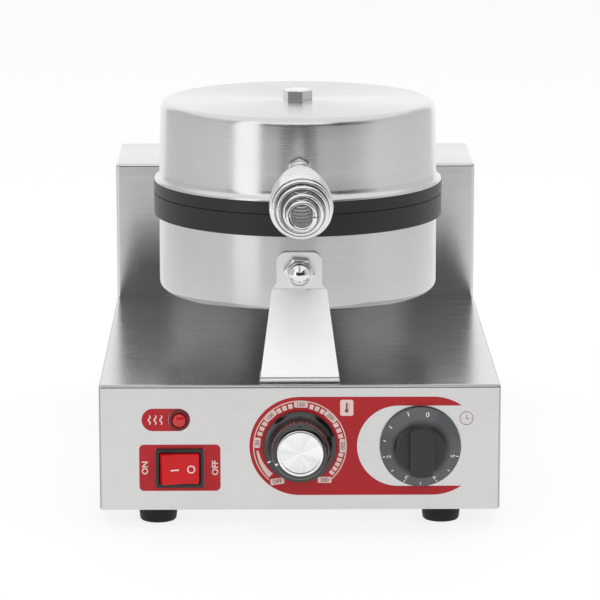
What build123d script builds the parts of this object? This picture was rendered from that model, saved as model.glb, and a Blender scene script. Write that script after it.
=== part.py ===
"""Countertop heart waffle maker with a hinged lid, modelled at its real size in millimetres.

The frame has +Z up, +Y towards the back and +X to the right as the user sees it.
The origin lies on the surface the object stands on, under the middle of its whole length and width.
"""

from build123d import *
import math
import os

# Housing
base_width = 250.0
column_depth = 92.0
base_height = 79.0
column_height = 94.0
sheet = 1.0
fold_radius = 2.0
return_width = 12.0
cover_screw_rows = 3
louvre_count = 9
louvre_pitch = 14.0
louvre_width = 4.0
louvre_length = 48.0
louvre_height = 132.0
vent_count = 7
vent_pitch = 18.0
vent_width = 4.0
vent_length = 60.0

# Feet
foot_height = 10.0
foot_top_radius = 12.3
foot_toe_radius = 11.4
foot_toe_bevel = 1.6
foot_inset = 36.0
foot_setback = 17.0
foot_web = 4.0

# Cooking head
head_setback = 120.0
shell_radius = 90.0
plate_overhang = 3.3
shell_corner = 5.0
lid_draft = 1.4
parting_height = 192.4
parting_gap = 0.4
lower_plate_edge = 14.0
upper_plate_edge = 8.0
spigot_height = 5.0
spigot_clearance = 0.2
lower_shell_height = 49.0
upper_shell_height = 51.5
flare_height = 6.0
flare_lip = 0.8
boss_radius = 10.0

# Heart pattern in each plate
cavity_rim = 12.3
web_depth = 2.5
pocket_depth = 5.0
heart_count = 5
heart_ridge = 3.0
lobe_share = 0.741
lobe_angle = 17.0
hub_radius = 6.5
stud_pitch = 12.5
stud_base = 6.4
stud_draft = 15.0
stud_drop = 0.8
stud_margin = 4.8

# Heating parts
element_side = 7.0
element_ring = 58.0
element_gap_angle = 44.0
element_bend = 9.0
element_leg = 14.0
clamp_reach = 72.0
clamp_bar = 15.0
clamp_sheet = 2.0
pad_gap = 6.5
pad_sides = 16
tail_slot_width = 48.0
tail_slot_start = 40.0
tail_hole_radius = 9.0
bulb_radius = 3.0
bulb_length = 62.0
bulb_offset = 16.0
capillary_radius = 1.0
capillary_bend = 7.0
capillary_offset = 5.0
cutout_radius = 8.0
cutout_height = 9.0
cutout_setback = 66.0

# Hinge
hinge_gap = 22.7
hinge_rise = 8.0
hinge_setback = 40.0
hinge_pin_radius = 4.0
hinge_sheet = 2.5
hinge_side_gap = 0.5
hinge_pin_end = 4.0
lid_opening_angle = 100.0
knuckle_radius = 9.5
ear_rim = 6.0
bracket_half_width = 32.0
bracket_floor_height = 138.0
bracket_wall_height = 28.0
bracket_flange = 18.0
bracket_bolt_pitch = 26.0
cradle_half_width = 46.0
cradle_screw_x = 39.0
cradle_screw_pitch = 14.0
arm_band_low = 11.0
arm_band_high = 38.0
arm_root = 22.0
stop_pin_radius = 4.0
stop_pin_reach = 21.0
stop_clearance = 0.3

# Handle
handle_height = 20.8
handle_length = 128.0
handle_tilt = 3.8
wire_radius = 1.4
coil_turns = 24
coil_root_turns = 1.0
coil_root_radius = 4.8
coil_belly_radius = 17.7
coil_tip_radius = 7.7
coil_tip_turns = 1.0
coil_belly_share = 0.8
coil_swell = 0.8
stud_inside = 9.0
stud_outside = 12.0
handle_nut_flats = 13.0
handle_nut_height = 4.0

# Front support
support_sheet = 2.0
support_bend = 2.0
support_foot_inset = 3.0
support_foot_length = 30.0
support_base_width = 50.0
support_shoulder_width = 34.4
support_tab_width = 28.5
support_tab_low = 55.0
support_tab_high = 78.5
support_bolt_height = 66.0
support_tab_corner = 6.0
support_screw_spread = 30.0

# Controls on the front panel
panel_row = 51.0
thermostat_x = 0.0
timer_inset = 50.0
switch_inset = 50.2
switch_z = 37.3
lamp_inset = 50.0
lamp_z = 68.0
label_sheet = 0.3
heat_label_inset = 41.6
heat_label_length = 30.0
heat_label_height = 14.2
switch_label_width = 50.6
switch_label_height = 29.6
switch_label_corner = 3.0
control_label_radius = 31.4
control_label_inset = 42.3
window_reach = 13.6
window_radius = 25.8

# Knobs
knob_stand_off = 0.8
shaft_radius = 3.0
shaft_length = 16.0
bushing_radius = 5.0
bushing_length = 4.6
bushing_nut_flats = 14.0
bushing_nut_height = 2.4
knob_recess_radius = 9.5
knob_recess_depth = 6.0
thermostat_knob_radius = 22.7
thermostat_knob_height = 20.0
thermostat_rim = 2.5
thermostat_cap_radius = 14.4
thermostat_cap_height = 1.2
timer_knob_radius = 25.3
timer_rim = 2.2
timer_skirt_height = 9.0
timer_drum_radius = 15.6
timer_drum_height = 12.5
timer_grip_height = 22.0
timer_grip_width = 14.4

# Switch and lamp
bezel_width = 29.8
bezel_height = 24.8
bezel_proud = 2.0
switch_body_depth = 26.0
switch_wall = 1.5
rocker_width = 24.9
rocker_height = 19.1
rocker_gap = 0.4
rocker_edge = 5.6
rocker_dish = 1.6
rocker_swing = 8.0
lamp_bezel_radius = 6.7
lamp_lens_radius = 5.0
lamp_proud = 3.0
lamp_body_length = 24.0

# Inside the base
thermostat_box = (38.0, 26.0, 44.0)
timer_box = (42.0, 34.0, 42.0)
terminal_box = (40.0, 22.0, 18.0)
terminal_inset = 41.0
terminal_setback = 80.0

# Fasteners and fits
running_clearance = 0.06
hole_clearance = 0.2
m4_radius = 2.0
m4_head_radius = 3.8
m4_head_height = 2.2
m4_flats = 7.0
m4_nut_height = 3.2
sheet_screw_length = 8.0
screw_tail = 5.0
cradle_screw_tail = 3.0
m6_radius = 3.0
m6_flats = 10.0
m6_head_height = 4.0
m6_nut_height = 5.0
m6_tail = 9.0
m10_radius = 5.0
m10_flats = 16.6
m10_head_height = 6.4
cap_nut_flats = 17.0
cap_nut_hex = 6.0
cap_nut_dome = 8.0
cap_nut_radius = 7.75

# Cord entry at the back
gland_inset = 41.0
gland_z = 36.0
gland_bore = 4.0
gland_wall = 2.5
gland_flats = 22.0
gland_hex = 6.0
gland_nose = 10.0
gland_inside = 8.0

# Places worked out from the sizes above
plate_radius = shell_radius + plate_overhang
deck_depth = head_setback + plate_radius + hinge_gap + hinge_setback
front_reach = (handle_length * math.cos(math.radians(handle_tilt)) + shell_radius
               - lid_draft * handle_height / upper_shell_height - head_setback)
front_y = (front_reach - deck_depth - column_depth - gland_nose) / 2
column_y = front_y + deck_depth
back_y = column_y + column_depth
panel_bottom = foot_height + sheet
deck_z = panel_bottom + base_height
column_top = deck_z + column_height
half_width = base_width / 2
foot_spread = half_width - foot_inset
cavity_radius = plate_radius - cavity_rim
lobe_centre = cavity_radius * lobe_share
timer_x = half_width - timer_inset
switch_x = switch_inset - half_width
lamp_x = lamp_inset - half_width
heat_label_x = heat_label_inset - half_width
control_label_right = half_width - control_label_inset
window_left = timer_x - window_reach
terminal_x = terminal_inset - half_width
gland_x = gland_inset - half_width
head_y = front_y + head_setback
lower_plate_top = parting_height - parting_gap / 2
upper_plate_bottom = parting_height + parting_gap / 2
lower_plate_bottom = parting_height - lower_plate_edge
upper_plate_top = parting_height + upper_plate_edge
lower_shell_bottom = lower_plate_bottom - lower_shell_height
upper_shell_top = upper_plate_top + upper_shell_height
element_low = lower_plate_bottom - spigot_height - element_side
element_high = upper_plate_top + spigot_height + element_side
clamp_low = element_low - clamp_sheet
clamp_high = element_high + clamp_sheet
spigot_radius = shell_radius - sheet - spigot_clearance
pad_radius = shell_radius - sheet - pad_gap
hinge_y = head_y + plate_radius + hinge_gap
hinge_z = parting_height + hinge_rise
arm_half_width = bracket_half_width - hinge_sheet - hinge_side_gap
handle_z = upper_plate_top + handle_height
support_bolt_z = deck_z + support_bolt_height
tail_hole_low = bracket_floor_height + hinge_sheet + tail_hole_radius + 2.0
tail_hole_high = upper_plate_top + (arm_band_low + arm_band_high) / 2
stud_radius = coil_root_radius - wire_radius - hole_clearance
front_plane = Plane(origin=(0, front_y, 0), x_dir=(1, 0, 0), z_dir=(0, -1, 0))
head_place = Pos(0, head_y, 0)

os.makedirs("parts", exist_ok=True)


def block(x0, x1, y0, y1, z0, z1):
    """A box between two corners."""
    return Pos((x0 + x1) / 2, (y0 + y1) / 2, (z0 + z1) / 2) * Box(x1 - x0, y1 - y0, z1 - z0)


def rod(start, end, radius):
    """A round bar from one point to another."""
    span = Vector(*end) - Vector(*start)
    return extrude(Plane(origin=start, z_dir=span) * Circle(radius), span.length)


def prism(start, end, flats, sides=6):
    """A bar with flats, such as a bolt head, as wide across the flats as stated."""
    span = Vector(*end) - Vector(*start)
    outline = RegularPolygon(flats / 2, sides, major_radius=False)
    return extrude(Plane(origin=start, z_dir=span) * outline, span.length)


def thread(start, end, radius):
    """The thread of a small screw, or its hole, kept to eight flats."""
    return prism(start, end, 2 * radius, 8)


def along(point, direction, distance):
    """The point that lies a distance away in a direction."""
    return tuple(p + d * distance for p, d in zip(point, direction))


def screw(seat, direction, head_radius, head_height, radius, length, sides=6):
    """A screw whose head stands on its seat, against the direction that its shank goes."""
    head = prism(along(seat, direction, -head_height), seat, 2 * head_radius, sides)
    return head + thread(seat, along(seat, direction, length), radius)


def turned(points, y=0.0):
    """A solid of revolution about a vertical axis, from its profile of radius and height."""
    return Pos(0, y, 0) * revolve(make_face(Plane.XZ * Polyline(*points, close=True)), Axis.Z)


def folded(points, thickness, bend, half_span):
    """A sheet bent along a line in the side view, as wide as its two half spans."""
    strip = trace(FilletPolyline(*points, radius=bend), thickness)
    return extrude(Plane.YZ * strip, half_span, both=True)


def at_panel(shape, x, z):
    """A control built along the local Z axis, moved onto the front panel and facing the user."""
    return front_plane.location * Pos(x, z, 0) * shape


def save(name, shape):
    solids = shape.solids()
    export_step(solids[0] if len(solids) == 1 else Compound(children=list(solids)), f"parts/{name}.step")


# Housing


def foot_places():
    return [(x, y) for x in (-foot_spread, foot_spread) for y in (front_y + foot_setback, back_y - foot_setback)]


def flange_screw_places():
    """The screws that hold the bottom plate to the return flanges of both shells."""
    x = half_width - return_width / 2
    rows = (front_y + 2 * foot_setback, column_y - foot_setback, back_y - foot_setback)
    return [(side * x, y) for side in (-1, 1) for y in rows]


def cover_screw_places():
    x = half_width - return_width / 2
    low = panel_bottom + return_width
    high = column_top - return_width
    step = (high - low) / (cover_screw_rows - 1)
    return [(side * x, low + row * step) for side in (-1, 1) for row in range(cover_screw_rows)]


def bracket_bolt_places():
    x = bracket_half_width + bracket_flange / 2
    z = bracket_floor_height + bracket_wall_height / 2
    return [(side * x, z + up * bracket_bolt_pitch / 2) for side in (-1, 1) for up in (-1, 1)]


def base_shell():
    """The front panel, deck and sides, folded from one sheet, open at the bottom and the back."""
    outer = block(-half_width, half_width, front_y, column_y, panel_bottom, deck_z)
    front_edges = outer.edges().filter_by(Axis.Z).group_by(Axis.Y)[0]
    top_edges = outer.edges().group_by(Axis.Z)[-1]
    outer = fillet(front_edges + top_edges.filter_by(Axis.Y) + top_edges.sort_by(Axis.Y)[:1], fold_radius)
    inner = block(-half_width + sheet, half_width - sheet, front_y + sheet, column_y,
                  panel_bottom + sheet, deck_z - sheet)
    lap = block(-half_width + sheet, half_width - sheet, column_y - sheet, column_y,
                deck_z - return_width, deck_z - sheet)
    flange_inner = half_width - return_width
    mouth = block(-flange_inner, flange_inner, front_y + return_width, column_y,
                  panel_bottom, panel_bottom + sheet)
    shell = outer - (inner - lap) - mouth
    shell -= at_panel(extrude(Circle(bushing_radius + hole_clearance), sheet, both=True), thermostat_x, panel_row)
    shell -= at_panel(extrude(Circle(bushing_radius + hole_clearance), sheet, both=True), timer_x, panel_row)
    shell -= at_panel(extrude(Circle(lamp_lens_radius + hole_clearance), sheet, both=True), lamp_x, lamp_z)
    cut_out = Rectangle(bezel_width - 2 * switch_wall, bezel_height - 2 * switch_wall)
    shell -= at_panel(extrude(cut_out, sheet, both=True), switch_x, switch_z)
    for x, y in support_screw_places():
        shell -= thread((x, y, deck_z), (x, y, deck_z - sheet), m4_radius + hole_clearance)
    for x, y in flange_screw_places():
        if y < column_y:
            shell -= thread((x, y, panel_bottom), (x, y, panel_bottom + sheet), m4_radius + hole_clearance)
    return shell


def column_shell():
    """The column's front, top and sides, whose sides go down behind the deck to the bottom."""
    back = back_y - sheet
    outer = block(-half_width, half_width, column_y, back, panel_bottom, column_top)
    top_edges = outer.edges().group_by(Axis.Z)[-1]
    front_edges = outer.edges().filter_by(Axis.Z).group_by(Axis.Y)[0]
    outer = fillet(front_edges + top_edges.filter_by(Axis.Y) + top_edges.sort_by(Axis.Y)[:1], fold_radius)
    inner = block(-half_width + sheet, half_width - sheet, column_y + sheet, back - sheet,
                  panel_bottom + sheet, column_top - sheet)
    flange_inner = half_width - return_width
    mouth = block(-flange_inner, flange_inner, column_y, back, panel_bottom, panel_bottom + sheet)
    rear_mouth = block(-flange_inner, flange_inner, back - sheet, back,
                       panel_bottom, column_top - return_width)
    under_deck = block(-half_width + sheet, half_width - sheet, column_y, column_y + sheet,
                       panel_bottom, deck_z - return_width)
    shell = outer - inner - mouth - rear_mouth - under_deck
    shell -= rod((0, column_y, tail_hole_low), (0, column_y + sheet, tail_hole_low), tail_hole_radius)
    for x, z in bracket_bolt_places():
        shell -= thread((x, column_y, z), (x, column_y + sheet, z), m6_radius + hole_clearance)
    for x, z in cover_screw_places():
        shell -= thread((x, back - sheet, z), (x, back, z), m4_radius + hole_clearance)
    for x, y in flange_screw_places():
        if y > column_y:
            shell -= thread((x, y, panel_bottom), (x, y, panel_bottom + sheet), m4_radius + hole_clearance)
    return shell


def rear_cover():
    """The flat back with its row of louvre slots and the hole for the cord gland."""
    plate = block(-half_width, half_width, back_y - sheet, back_y, panel_bottom, column_top)
    plate = fillet(plate.edges().filter_by(Axis.Y).group_by(Axis.Z)[-1], fold_radius)
    face = Plane(origin=(0, back_y, 0), x_dir=(-1, 0, 0), z_dir=(0, 1, 0))
    for i in range(louvre_count):
        x = (i - (louvre_count - 1) / 2) * louvre_pitch
        cut = Pos(x, louvre_height) * Rot(0, 0, 90) * SlotOverall(louvre_length, louvre_width)
        plate -= extrude(face * cut, -sheet)
    plate -= rod((gland_x, back_y - sheet, gland_z), (gland_x, back_y, gland_z),
                 gland_bore + gland_wall + hole_clearance)
    for x, z in cover_screw_places():
        plate -= thread((x, back_y - sheet, z), (x, back_y, z), m4_radius + hole_clearance)
    return plate


def bottom_plate():
    """The flat bottom with two rows of vent slots and the holes for the feet."""
    inset = sheet
    plate = block(-half_width + inset, half_width - inset, front_y + inset, back_y - inset,
                  foot_height, panel_bottom)
    for row in (front_y + deck_depth / 3, column_y - deck_depth / 6):
        for i in range(vent_count):
            x = (i - (vent_count - 1) / 2) * vent_pitch
            plate -= extrude(Plane.XY.offset(foot_height) * Pos(x, row) * Rectangle(vent_width, vent_length), sheet)
    for x, y in foot_places() + flange_screw_places():
        plate -= thread((x, y, foot_height), (x, y, panel_bottom), m4_radius + hole_clearance)
    return plate


def feet():
    """Four rubber feet, each with a deep recess that keeps its screw off the table."""
    recess = m4_head_radius + 1.0
    profile = [(m4_radius + hole_clearance, foot_height), (foot_top_radius, foot_height),
               (foot_toe_radius + 0.3, foot_toe_bevel), (foot_toe_radius - foot_toe_bevel / 2, 0),
               (recess, 0), (recess, foot_height - foot_web), (m4_radius + hole_clearance, foot_height - foot_web)]
    foot = turned(profile)
    return Compound(children=[Pos(x, y, 0) * foot for x, y in foot_places()])


def foot_screws():
    seat = foot_height - foot_web
    length = foot_web + sheet + screw_tail
    return Compound(children=[screw((x, y, seat), (0, 0, 1), m4_head_radius, m4_head_height, m4_radius, length, 8)
                              for x, y in foot_places()])


def foot_nuts():
    nuts = []
    for x, y in foot_places():
        top = panel_bottom + m4_nut_height
        nut = prism((x, y, panel_bottom), (x, y, top), m4_flats)
        nuts.append(nut - thread((x, y, panel_bottom), (x, y, top), m4_radius + hole_clearance))
    return Compound(children=nuts)


def flange_screws():
    return Compound(children=[screw((x, y, foot_height), (0, 0, 1), m4_head_radius, m4_head_height, m4_radius,
                                    sheet_screw_length, 8) for x, y in flange_screw_places()])


def cover_screws():
    return Compound(children=[screw((x, back_y, z), (0, -1, 0), m4_head_radius, m4_head_height, m4_radius,
                                    sheet_screw_length, 8) for x, z in cover_screw_places()])


def cable_gland():
    """The hexagonal cord gland, with its nose outside, its sleeve through the cover and an open bore."""
    sleeve = gland_bore + gland_wall
    body = rod((gland_x, back_y - sheet - gland_inside, gland_z), (gland_x, back_y + gland_hex, gland_z), sleeve)
    body += prism((gland_x, back_y, gland_z), (gland_x, back_y + gland_hex, gland_z), gland_flats)
    body += rod((gland_x, back_y + gland_hex, gland_z), (gland_x, back_y + gland_nose, gland_z), sleeve + 1.5)
    return body - rod((gland_x, back_y - sheet - gland_inside, gland_z),
                      (gland_x, back_y + gland_nose, gland_z), gland_bore)


def gland_nut():
    start = (gland_x, back_y - sheet - gland_hex + 1.0, gland_z)
    end = (gland_x, back_y - sheet, gland_z)
    return prism(start, end, gland_flats) - rod(start, end, gland_bore + gland_wall + hole_clearance)


# Cooking head


def heart_outline():
    """One heart that points at the middle of the plate and has its lobes near the rim, along +X."""
    half_angle = 180.0 / heart_count
    centre = Vector(lobe_centre, 0).rotate(Axis.Z, lobe_angle)
    radius = lobe_centre * math.sin(math.radians(half_angle - lobe_angle)) - heart_ridge / 2
    tangent = centre + Vector(0, radius).rotate(Axis.Z, half_angle)
    tip = Vector(heart_ridge / 2 / math.sin(math.radians(half_angle)), 0)
    cleft = Vector(centre.X + math.sqrt(max(radius ** 2 - centre.Y ** 2, 0.01)), 0)
    upper = Pos(centre.X, centre.Y) * Circle(radius)
    lower = Pos(centre.X, -centre.Y) * Circle(radius)
    body = Polygon((tip.X, tip.Y), (tangent.X, -tangent.Y), (centre.X, -centre.Y), (cleft.X, cleft.Y),
                   (centre.X, centre.Y), (tangent.X, tangent.Y), align=None)
    return (upper + lower + body) - Circle(hub_radius), centre, radius, half_angle


def stud_places(centre, radius, half_angle):
    """The grid points of one heart that keep a whole stud clear of the heart's wall."""
    places = []
    steps = int(cavity_radius / stud_pitch) + 1
    for i in range(steps):
        for j in range(-steps, steps + 1):
            x = hub_radius + stud_margin + stud_base / 2 + i * stud_pitch
            y = j * stud_pitch
            side = x * math.sin(math.radians(half_angle)) - abs(y) * math.cos(math.radians(half_angle))
            in_lobe = math.hypot(x - centre.X, abs(y) - centre.Y) < radius - stud_margin
            in_wedge = x < centre.X and side > heart_ridge / 2 + stud_margin
            if in_lobe or in_wedge:
                places.append((x, y))
    return places


def heart_pattern():
    """The hollow that one plate gives the waffle: a shallow disc and, above it, hearts with studs."""
    outline, centre, radius, half_angle = heart_outline()
    pocket = extrude(outline, pocket_depth)
    stud = extrude(Rectangle(stud_base, stud_base), pocket_depth - stud_drop, taper=stud_draft)
    stud = Pos(0, 0, pocket_depth) * Rot(180, 0, 0) * stud
    for x, y in stud_places(centre, radius, half_angle):
        pocket -= Pos(x, y, 0) * stud
    hollow = Cylinder(cavity_radius, web_depth, align=(Align.CENTER, Align.CENTER, Align.MAX))
    return [hollow] + [Rot(0, 0, 90 + i * 360 / heart_count) * pocket for i in range(heart_count)]


def lower_plate():
    """The lower casting: rim, spigot that fits the shell, tapped boss and the heart pattern on top."""
    spigot_bottom = lower_plate_bottom - spigot_height
    plate = turned([(0, lower_plate_top), (plate_radius, lower_plate_top), (plate_radius, lower_plate_bottom),
                    (spigot_radius, lower_plate_bottom), (spigot_radius, spigot_bottom),
                    (boss_radius, spigot_bottom), (boss_radius, element_low), (0, element_low)])
    floor = Pos(0, 0, lower_plate_top - web_depth)
    for hollow in heart_pattern():
        plate -= floor * Rot(0, 180, 0) * hollow
    plate -= thread((0, 0, element_low), (0, 0, lower_plate_bottom), m10_radius + hole_clearance)
    return head_place * plate


def upper_plate():
    """The upper casting, with the same hearts facing down."""
    spigot_top = upper_plate_top + spigot_height
    plate = turned([(0, upper_plate_bottom), (plate_radius, upper_plate_bottom), (plate_radius, upper_plate_top),
                    (spigot_radius, upper_plate_top), (spigot_radius, spigot_top),
                    (boss_radius, spigot_top), (boss_radius, element_high), (0, element_high)])
    for hollow in heart_pattern():
        plate -= Pos(0, 0, upper_plate_bottom + web_depth) * hollow
    plate -= thread((0, 0, element_high), (0, 0, upper_plate_top), m10_radius + hole_clearance)
    return head_place * plate


def lid_radius(z):
    """The outer radius of the lid's drafted wall at a height."""
    share = (z - upper_plate_top) / upper_shell_height
    return shell_radius - lid_draft * share


def lower_radius(z):
    """The outer radius of the lower shell, which has no draft."""
    return shell_radius


def lower_shell():
    """The deep-drawn cup that carries the lower plate, with holes for its bolts, stud and wires."""
    top = lower_plate_bottom
    low = lower_shell_bottom
    inside = shell_radius - sheet
    bite = shell_corner * 0.3
    corner = shell_corner - sheet
    cup = turned([(0, low), (shell_radius - shell_corner, low), (shell_radius - bite, low + bite),
                  (shell_radius, low + shell_corner), (shell_radius, top), (inside, top),
                  (inside, low + shell_corner), (inside - corner, low + sheet), (0, low + sheet)])
    cup -= thread((0, 0, low), (0, 0, low + sheet), m10_radius + hole_clearance)
    cup = head_place * cup
    cup -= rod((0, head_y + tail_slot_start, tail_hole_low), (0, hinge_y, tail_hole_low), tail_hole_radius)
    cup -= thread((0, head_y - tail_slot_start, support_bolt_z), (0, head_y - shell_radius, support_bolt_z),
                  m10_radius + hole_clearance)
    for seat, way in cradle_screw_places(lower_cradle_z, lower_radius):
        cup -= thread(seat, along(seat, way, hinge_sheet + 2 * sheet), m4_radius + hole_clearance)
    return cup


def upper_shell():
    """The drafted lid with its rolled top edge and the flared rim that covers the plate's edge."""
    low = upper_plate_top
    top = upper_shell_top
    bite = shell_corner * 0.3
    corner = shell_corner - sheet
    crown = lid_radius(top)
    knee = lid_radius(low + flare_height)
    cup = turned([(plate_radius - 0.3, low), (plate_radius - 0.3, low + flare_lip),
                  (knee + 1.0, low + flare_height / 2), (knee, low + flare_height), (crown, top - shell_corner),
                  (crown - bite, top - bite), (crown - shell_corner, top), (0, top), (0, top - sheet),
                  (crown - sheet - corner, top - sheet), (crown - sheet, top - shell_corner),
                  (knee - sheet, low + flare_height), (knee, low + flare_height / 2 - 0.4),
                  (plate_radius - 1.8, low)])
    cup -= thread((0, 0, top - sheet), (0, 0, top), m10_radius + hole_clearance)
    cup = head_place * cup
    cup -= rod((0, head_y + tail_slot_start, tail_hole_high), (0, hinge_y, tail_hole_high), tail_hole_radius)
    start = handle_point(-2 * sheet)
    cup -= rod(start, handle_point(2 * sheet), stud_radius + hole_clearance)
    for seat, way in cradle_screw_places(upper_cradle_z, lid_radius):
        cup -= thread(seat, along(seat, way, hinge_sheet + 2 * sheet), m4_radius + hole_clearance)
    return cup


def element(z):
    """A heating rod bent to a ring with its two tails turned away from the plate at the back."""
    gap = math.radians(element_gap_angle / 2)
    rise = 1 if z > parting_height else -1
    ring = CenterArc((0, 0, 0), element_ring, 90 + element_gap_angle / 2, 360 - element_gap_angle)
    path = [ring]
    rod_parts = [sweep(Plane(origin=ring @ 0, z_dir=ring % 0) * Rectangle(element_side, element_side), ring)]
    for side in (-1, 1):
        end = Vector(side * element_ring * math.sin(gap), element_ring * math.cos(gap), 0)
        way = Vector(-side * math.cos(gap), math.sin(gap), 0)
        frame = Plane(origin=end, x_dir=(0, 0, rise), z_dir=way)
        bend = TangentArc(end, end + way * element_bend + Vector(0, 0, rise * element_bend), tangent=way)
        tail = Line(bend @ 1, (bend @ 1) + Vector(0, 0, rise * element_leg))
        rod_parts.append(sweep(frame * Rectangle(element_side, element_side), bend + tail))
    return Pos(0, head_y, z) * (rod_parts[0] + rod_parts[1] + rod_parts[2])


def clamp(low):
    """The star-shaped plate that presses the heating ring against the casting."""
    star = block(-clamp_reach, clamp_reach, -clamp_bar / 2, clamp_bar / 2, 0, clamp_sheet)
    star += Rot(0, 0, 60) * star + Rot(0, 0, 120) * star
    star -= thread((0, 0, 0), (0, 0, clamp_sheet), m10_radius + hole_clearance)
    return Pos(0, head_y, low) * star


def pad(low, high, stud_z):
    """The insulation between the clamp and the shell, cut away at the tails and the stud's nut."""
    disc = extrude(RegularPolygon(pad_radius, pad_sides), high - low)
    disc -= block(-tail_slot_width / 2, tail_slot_width / 2, tail_slot_start, 2 * pad_radius, 0, high - low)
    notch = stud_z - low
    disc -= block(-12, 12, -2 * pad_radius, 16 - pad_radius, notch - 14, notch + 14)
    disc -= thread((0, 0, 0), (0, 0, high - low), m10_radius + hole_clearance)
    return Pos(0, head_y, low) * disc


def lower_bolt():
    """The hexagon bolt that pulls the lower plate, clamp and pad onto the shell from below."""
    seat = (0, head_y, lower_shell_bottom)
    return screw(seat, (0, 0, 1), m10_flats / 2, m10_head_height, m10_radius,
                 element_low + boss_radius - lower_shell_bottom)


def lid_bolt():
    """The hexagon bolt that stands on the middle of the lid, with its chamfered head."""
    seat = (0, head_y, upper_shell_top)
    bolt = screw(seat, (0, 0, -1), m10_flats / 2, m10_head_height, m10_radius,
                 upper_shell_top - element_high + 0.5 * boss_radius)
    cone = Pos(0, head_y, upper_shell_top + m10_head_height / 2) * Cone(m10_flats / 2 + m10_head_height, m10_flats / 2,
                                                                      m10_head_height)
    room = 2 * m10_flats
    return bolt & (cone + block(-room, room, head_y - room, head_y + room, element_high - room, upper_shell_top))


def bulb_line():
    """The axis of the temperature bulb, under the lower plate and inside the heating ring."""
    z = lower_plate_bottom - spigot_height - bulb_radius
    return (bulb_offset, head_y + tail_slot_start - bulb_length, z), (bulb_offset, head_y + tail_slot_start, z)


def thermostat_sensor():
    """The temperature bulb and its capillary, through the head, the hinge bracket and the column."""
    start, end = bulb_line()
    box_back = front_y + sheet + thermostat_box[1]
    ring_y = head_y + element_ring
    x = capillary_offset
    points = [end, along(end, (0, 1, 0), capillary_bend), (x, ring_y, end[2]),
              (x, ring_y + 2.2 * capillary_bend, end[2]), (x, ring_y + 2.2 * capillary_bend, tail_hole_low),
              (x, column_y + 4 * capillary_bend, tail_hole_low), (x, column_y + 4 * capillary_bend, panel_row),
              (x, box_back, panel_row)]
    path = FilletPolyline(*points, radius=capillary_bend)
    section = Plane(origin=path @ 0, z_dir=path % 0) * RegularPolygon(capillary_radius, 6)
    return rod(start, end, bulb_radius) + sweep(section, path)


def thermal_cutout():
    """The round safety cut-out that stands on the floor of the lower shell beside the tails."""
    x = -tail_slot_width / 2 + cutout_radius + 1
    base = lower_shell_bottom + sheet
    y = head_y + cutout_setback
    body = rod((x, y, base), (x, y, base + cutout_height), cutout_radius)
    for dx in (-3, 3):
        body += block(x + dx - 0.4, x + dx + 0.4, y - 3, y + 3, base + cutout_height, base + cutout_height + 7)
    return body


# Hinge


def stop_pin_place():
    """Where the lid's arm lands when it is fully open, from the arm's own back edge."""
    tip_y = lid_radius(upper_plate_top + arm_band_high) + hinge_sheet - (hinge_y - head_y)
    tip_z = upper_plate_top + arm_band_high - hinge_z
    reach = math.hypot(tip_y, tip_z)
    normal = math.atan2(tip_z, tip_y) - math.acos(knuckle_radius / reach)
    turned_normal = normal - math.radians(lid_opening_angle)
    off = knuckle_radius + stop_clearance + stop_pin_radius
    run = math.sqrt(max(stop_pin_reach ** 2 - off ** 2, 0.0))
    y = off * math.cos(turned_normal) - run * math.sin(turned_normal)
    z = off * math.sin(turned_normal) + run * math.cos(turned_normal)
    return (hinge_y + y, hinge_z + z), normal


lower_cradle_z = bracket_floor_height + bracket_wall_height / 2
upper_cradle_z = upper_plate_top + (arm_band_low + arm_band_high) / 2


def cradle_screw_places(z, wall):
    """The four screws of a cradle: where each head sits on it, and the way into the shell."""
    places = []
    for side in (-1, 1):
        angle = math.asin(cradle_screw_x / shell_radius)
        way = (-side * math.sin(angle), -math.cos(angle), 0)
        for up in (-1, 1):
            row = z + up * cradle_screw_pitch / 2
            radius = wall(row - m4_head_radius) + hinge_sheet
            places.append(((side * radius * math.sin(angle), head_y + radius * math.cos(angle), row), way))
    return places


def cradle(wall, low, high):
    """A curved flange that hugs the back of a shell between two heights."""
    band = turned([(wall(low), low), (wall(low) + hinge_sheet, low),
                   (wall(high) + hinge_sheet, high), (wall(high), high)], head_y)
    return band & block(-cradle_half_width, cradle_half_width, head_y, head_y + 2 * shell_radius, low, high)


def side_profile(points, circles):
    """The outline around points and round ends in the side view, as a taut string would go."""
    lines = Polyline(*[(y, z) for y, z in points], close=True) if len(points) > 2 else Line(*points)
    rounds = [Pos(y, z) * Circle(r).edge() for (y, z), r in circles]
    return Plane.YZ * make_face(make_hull(lines.edges() + rounds))


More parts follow.
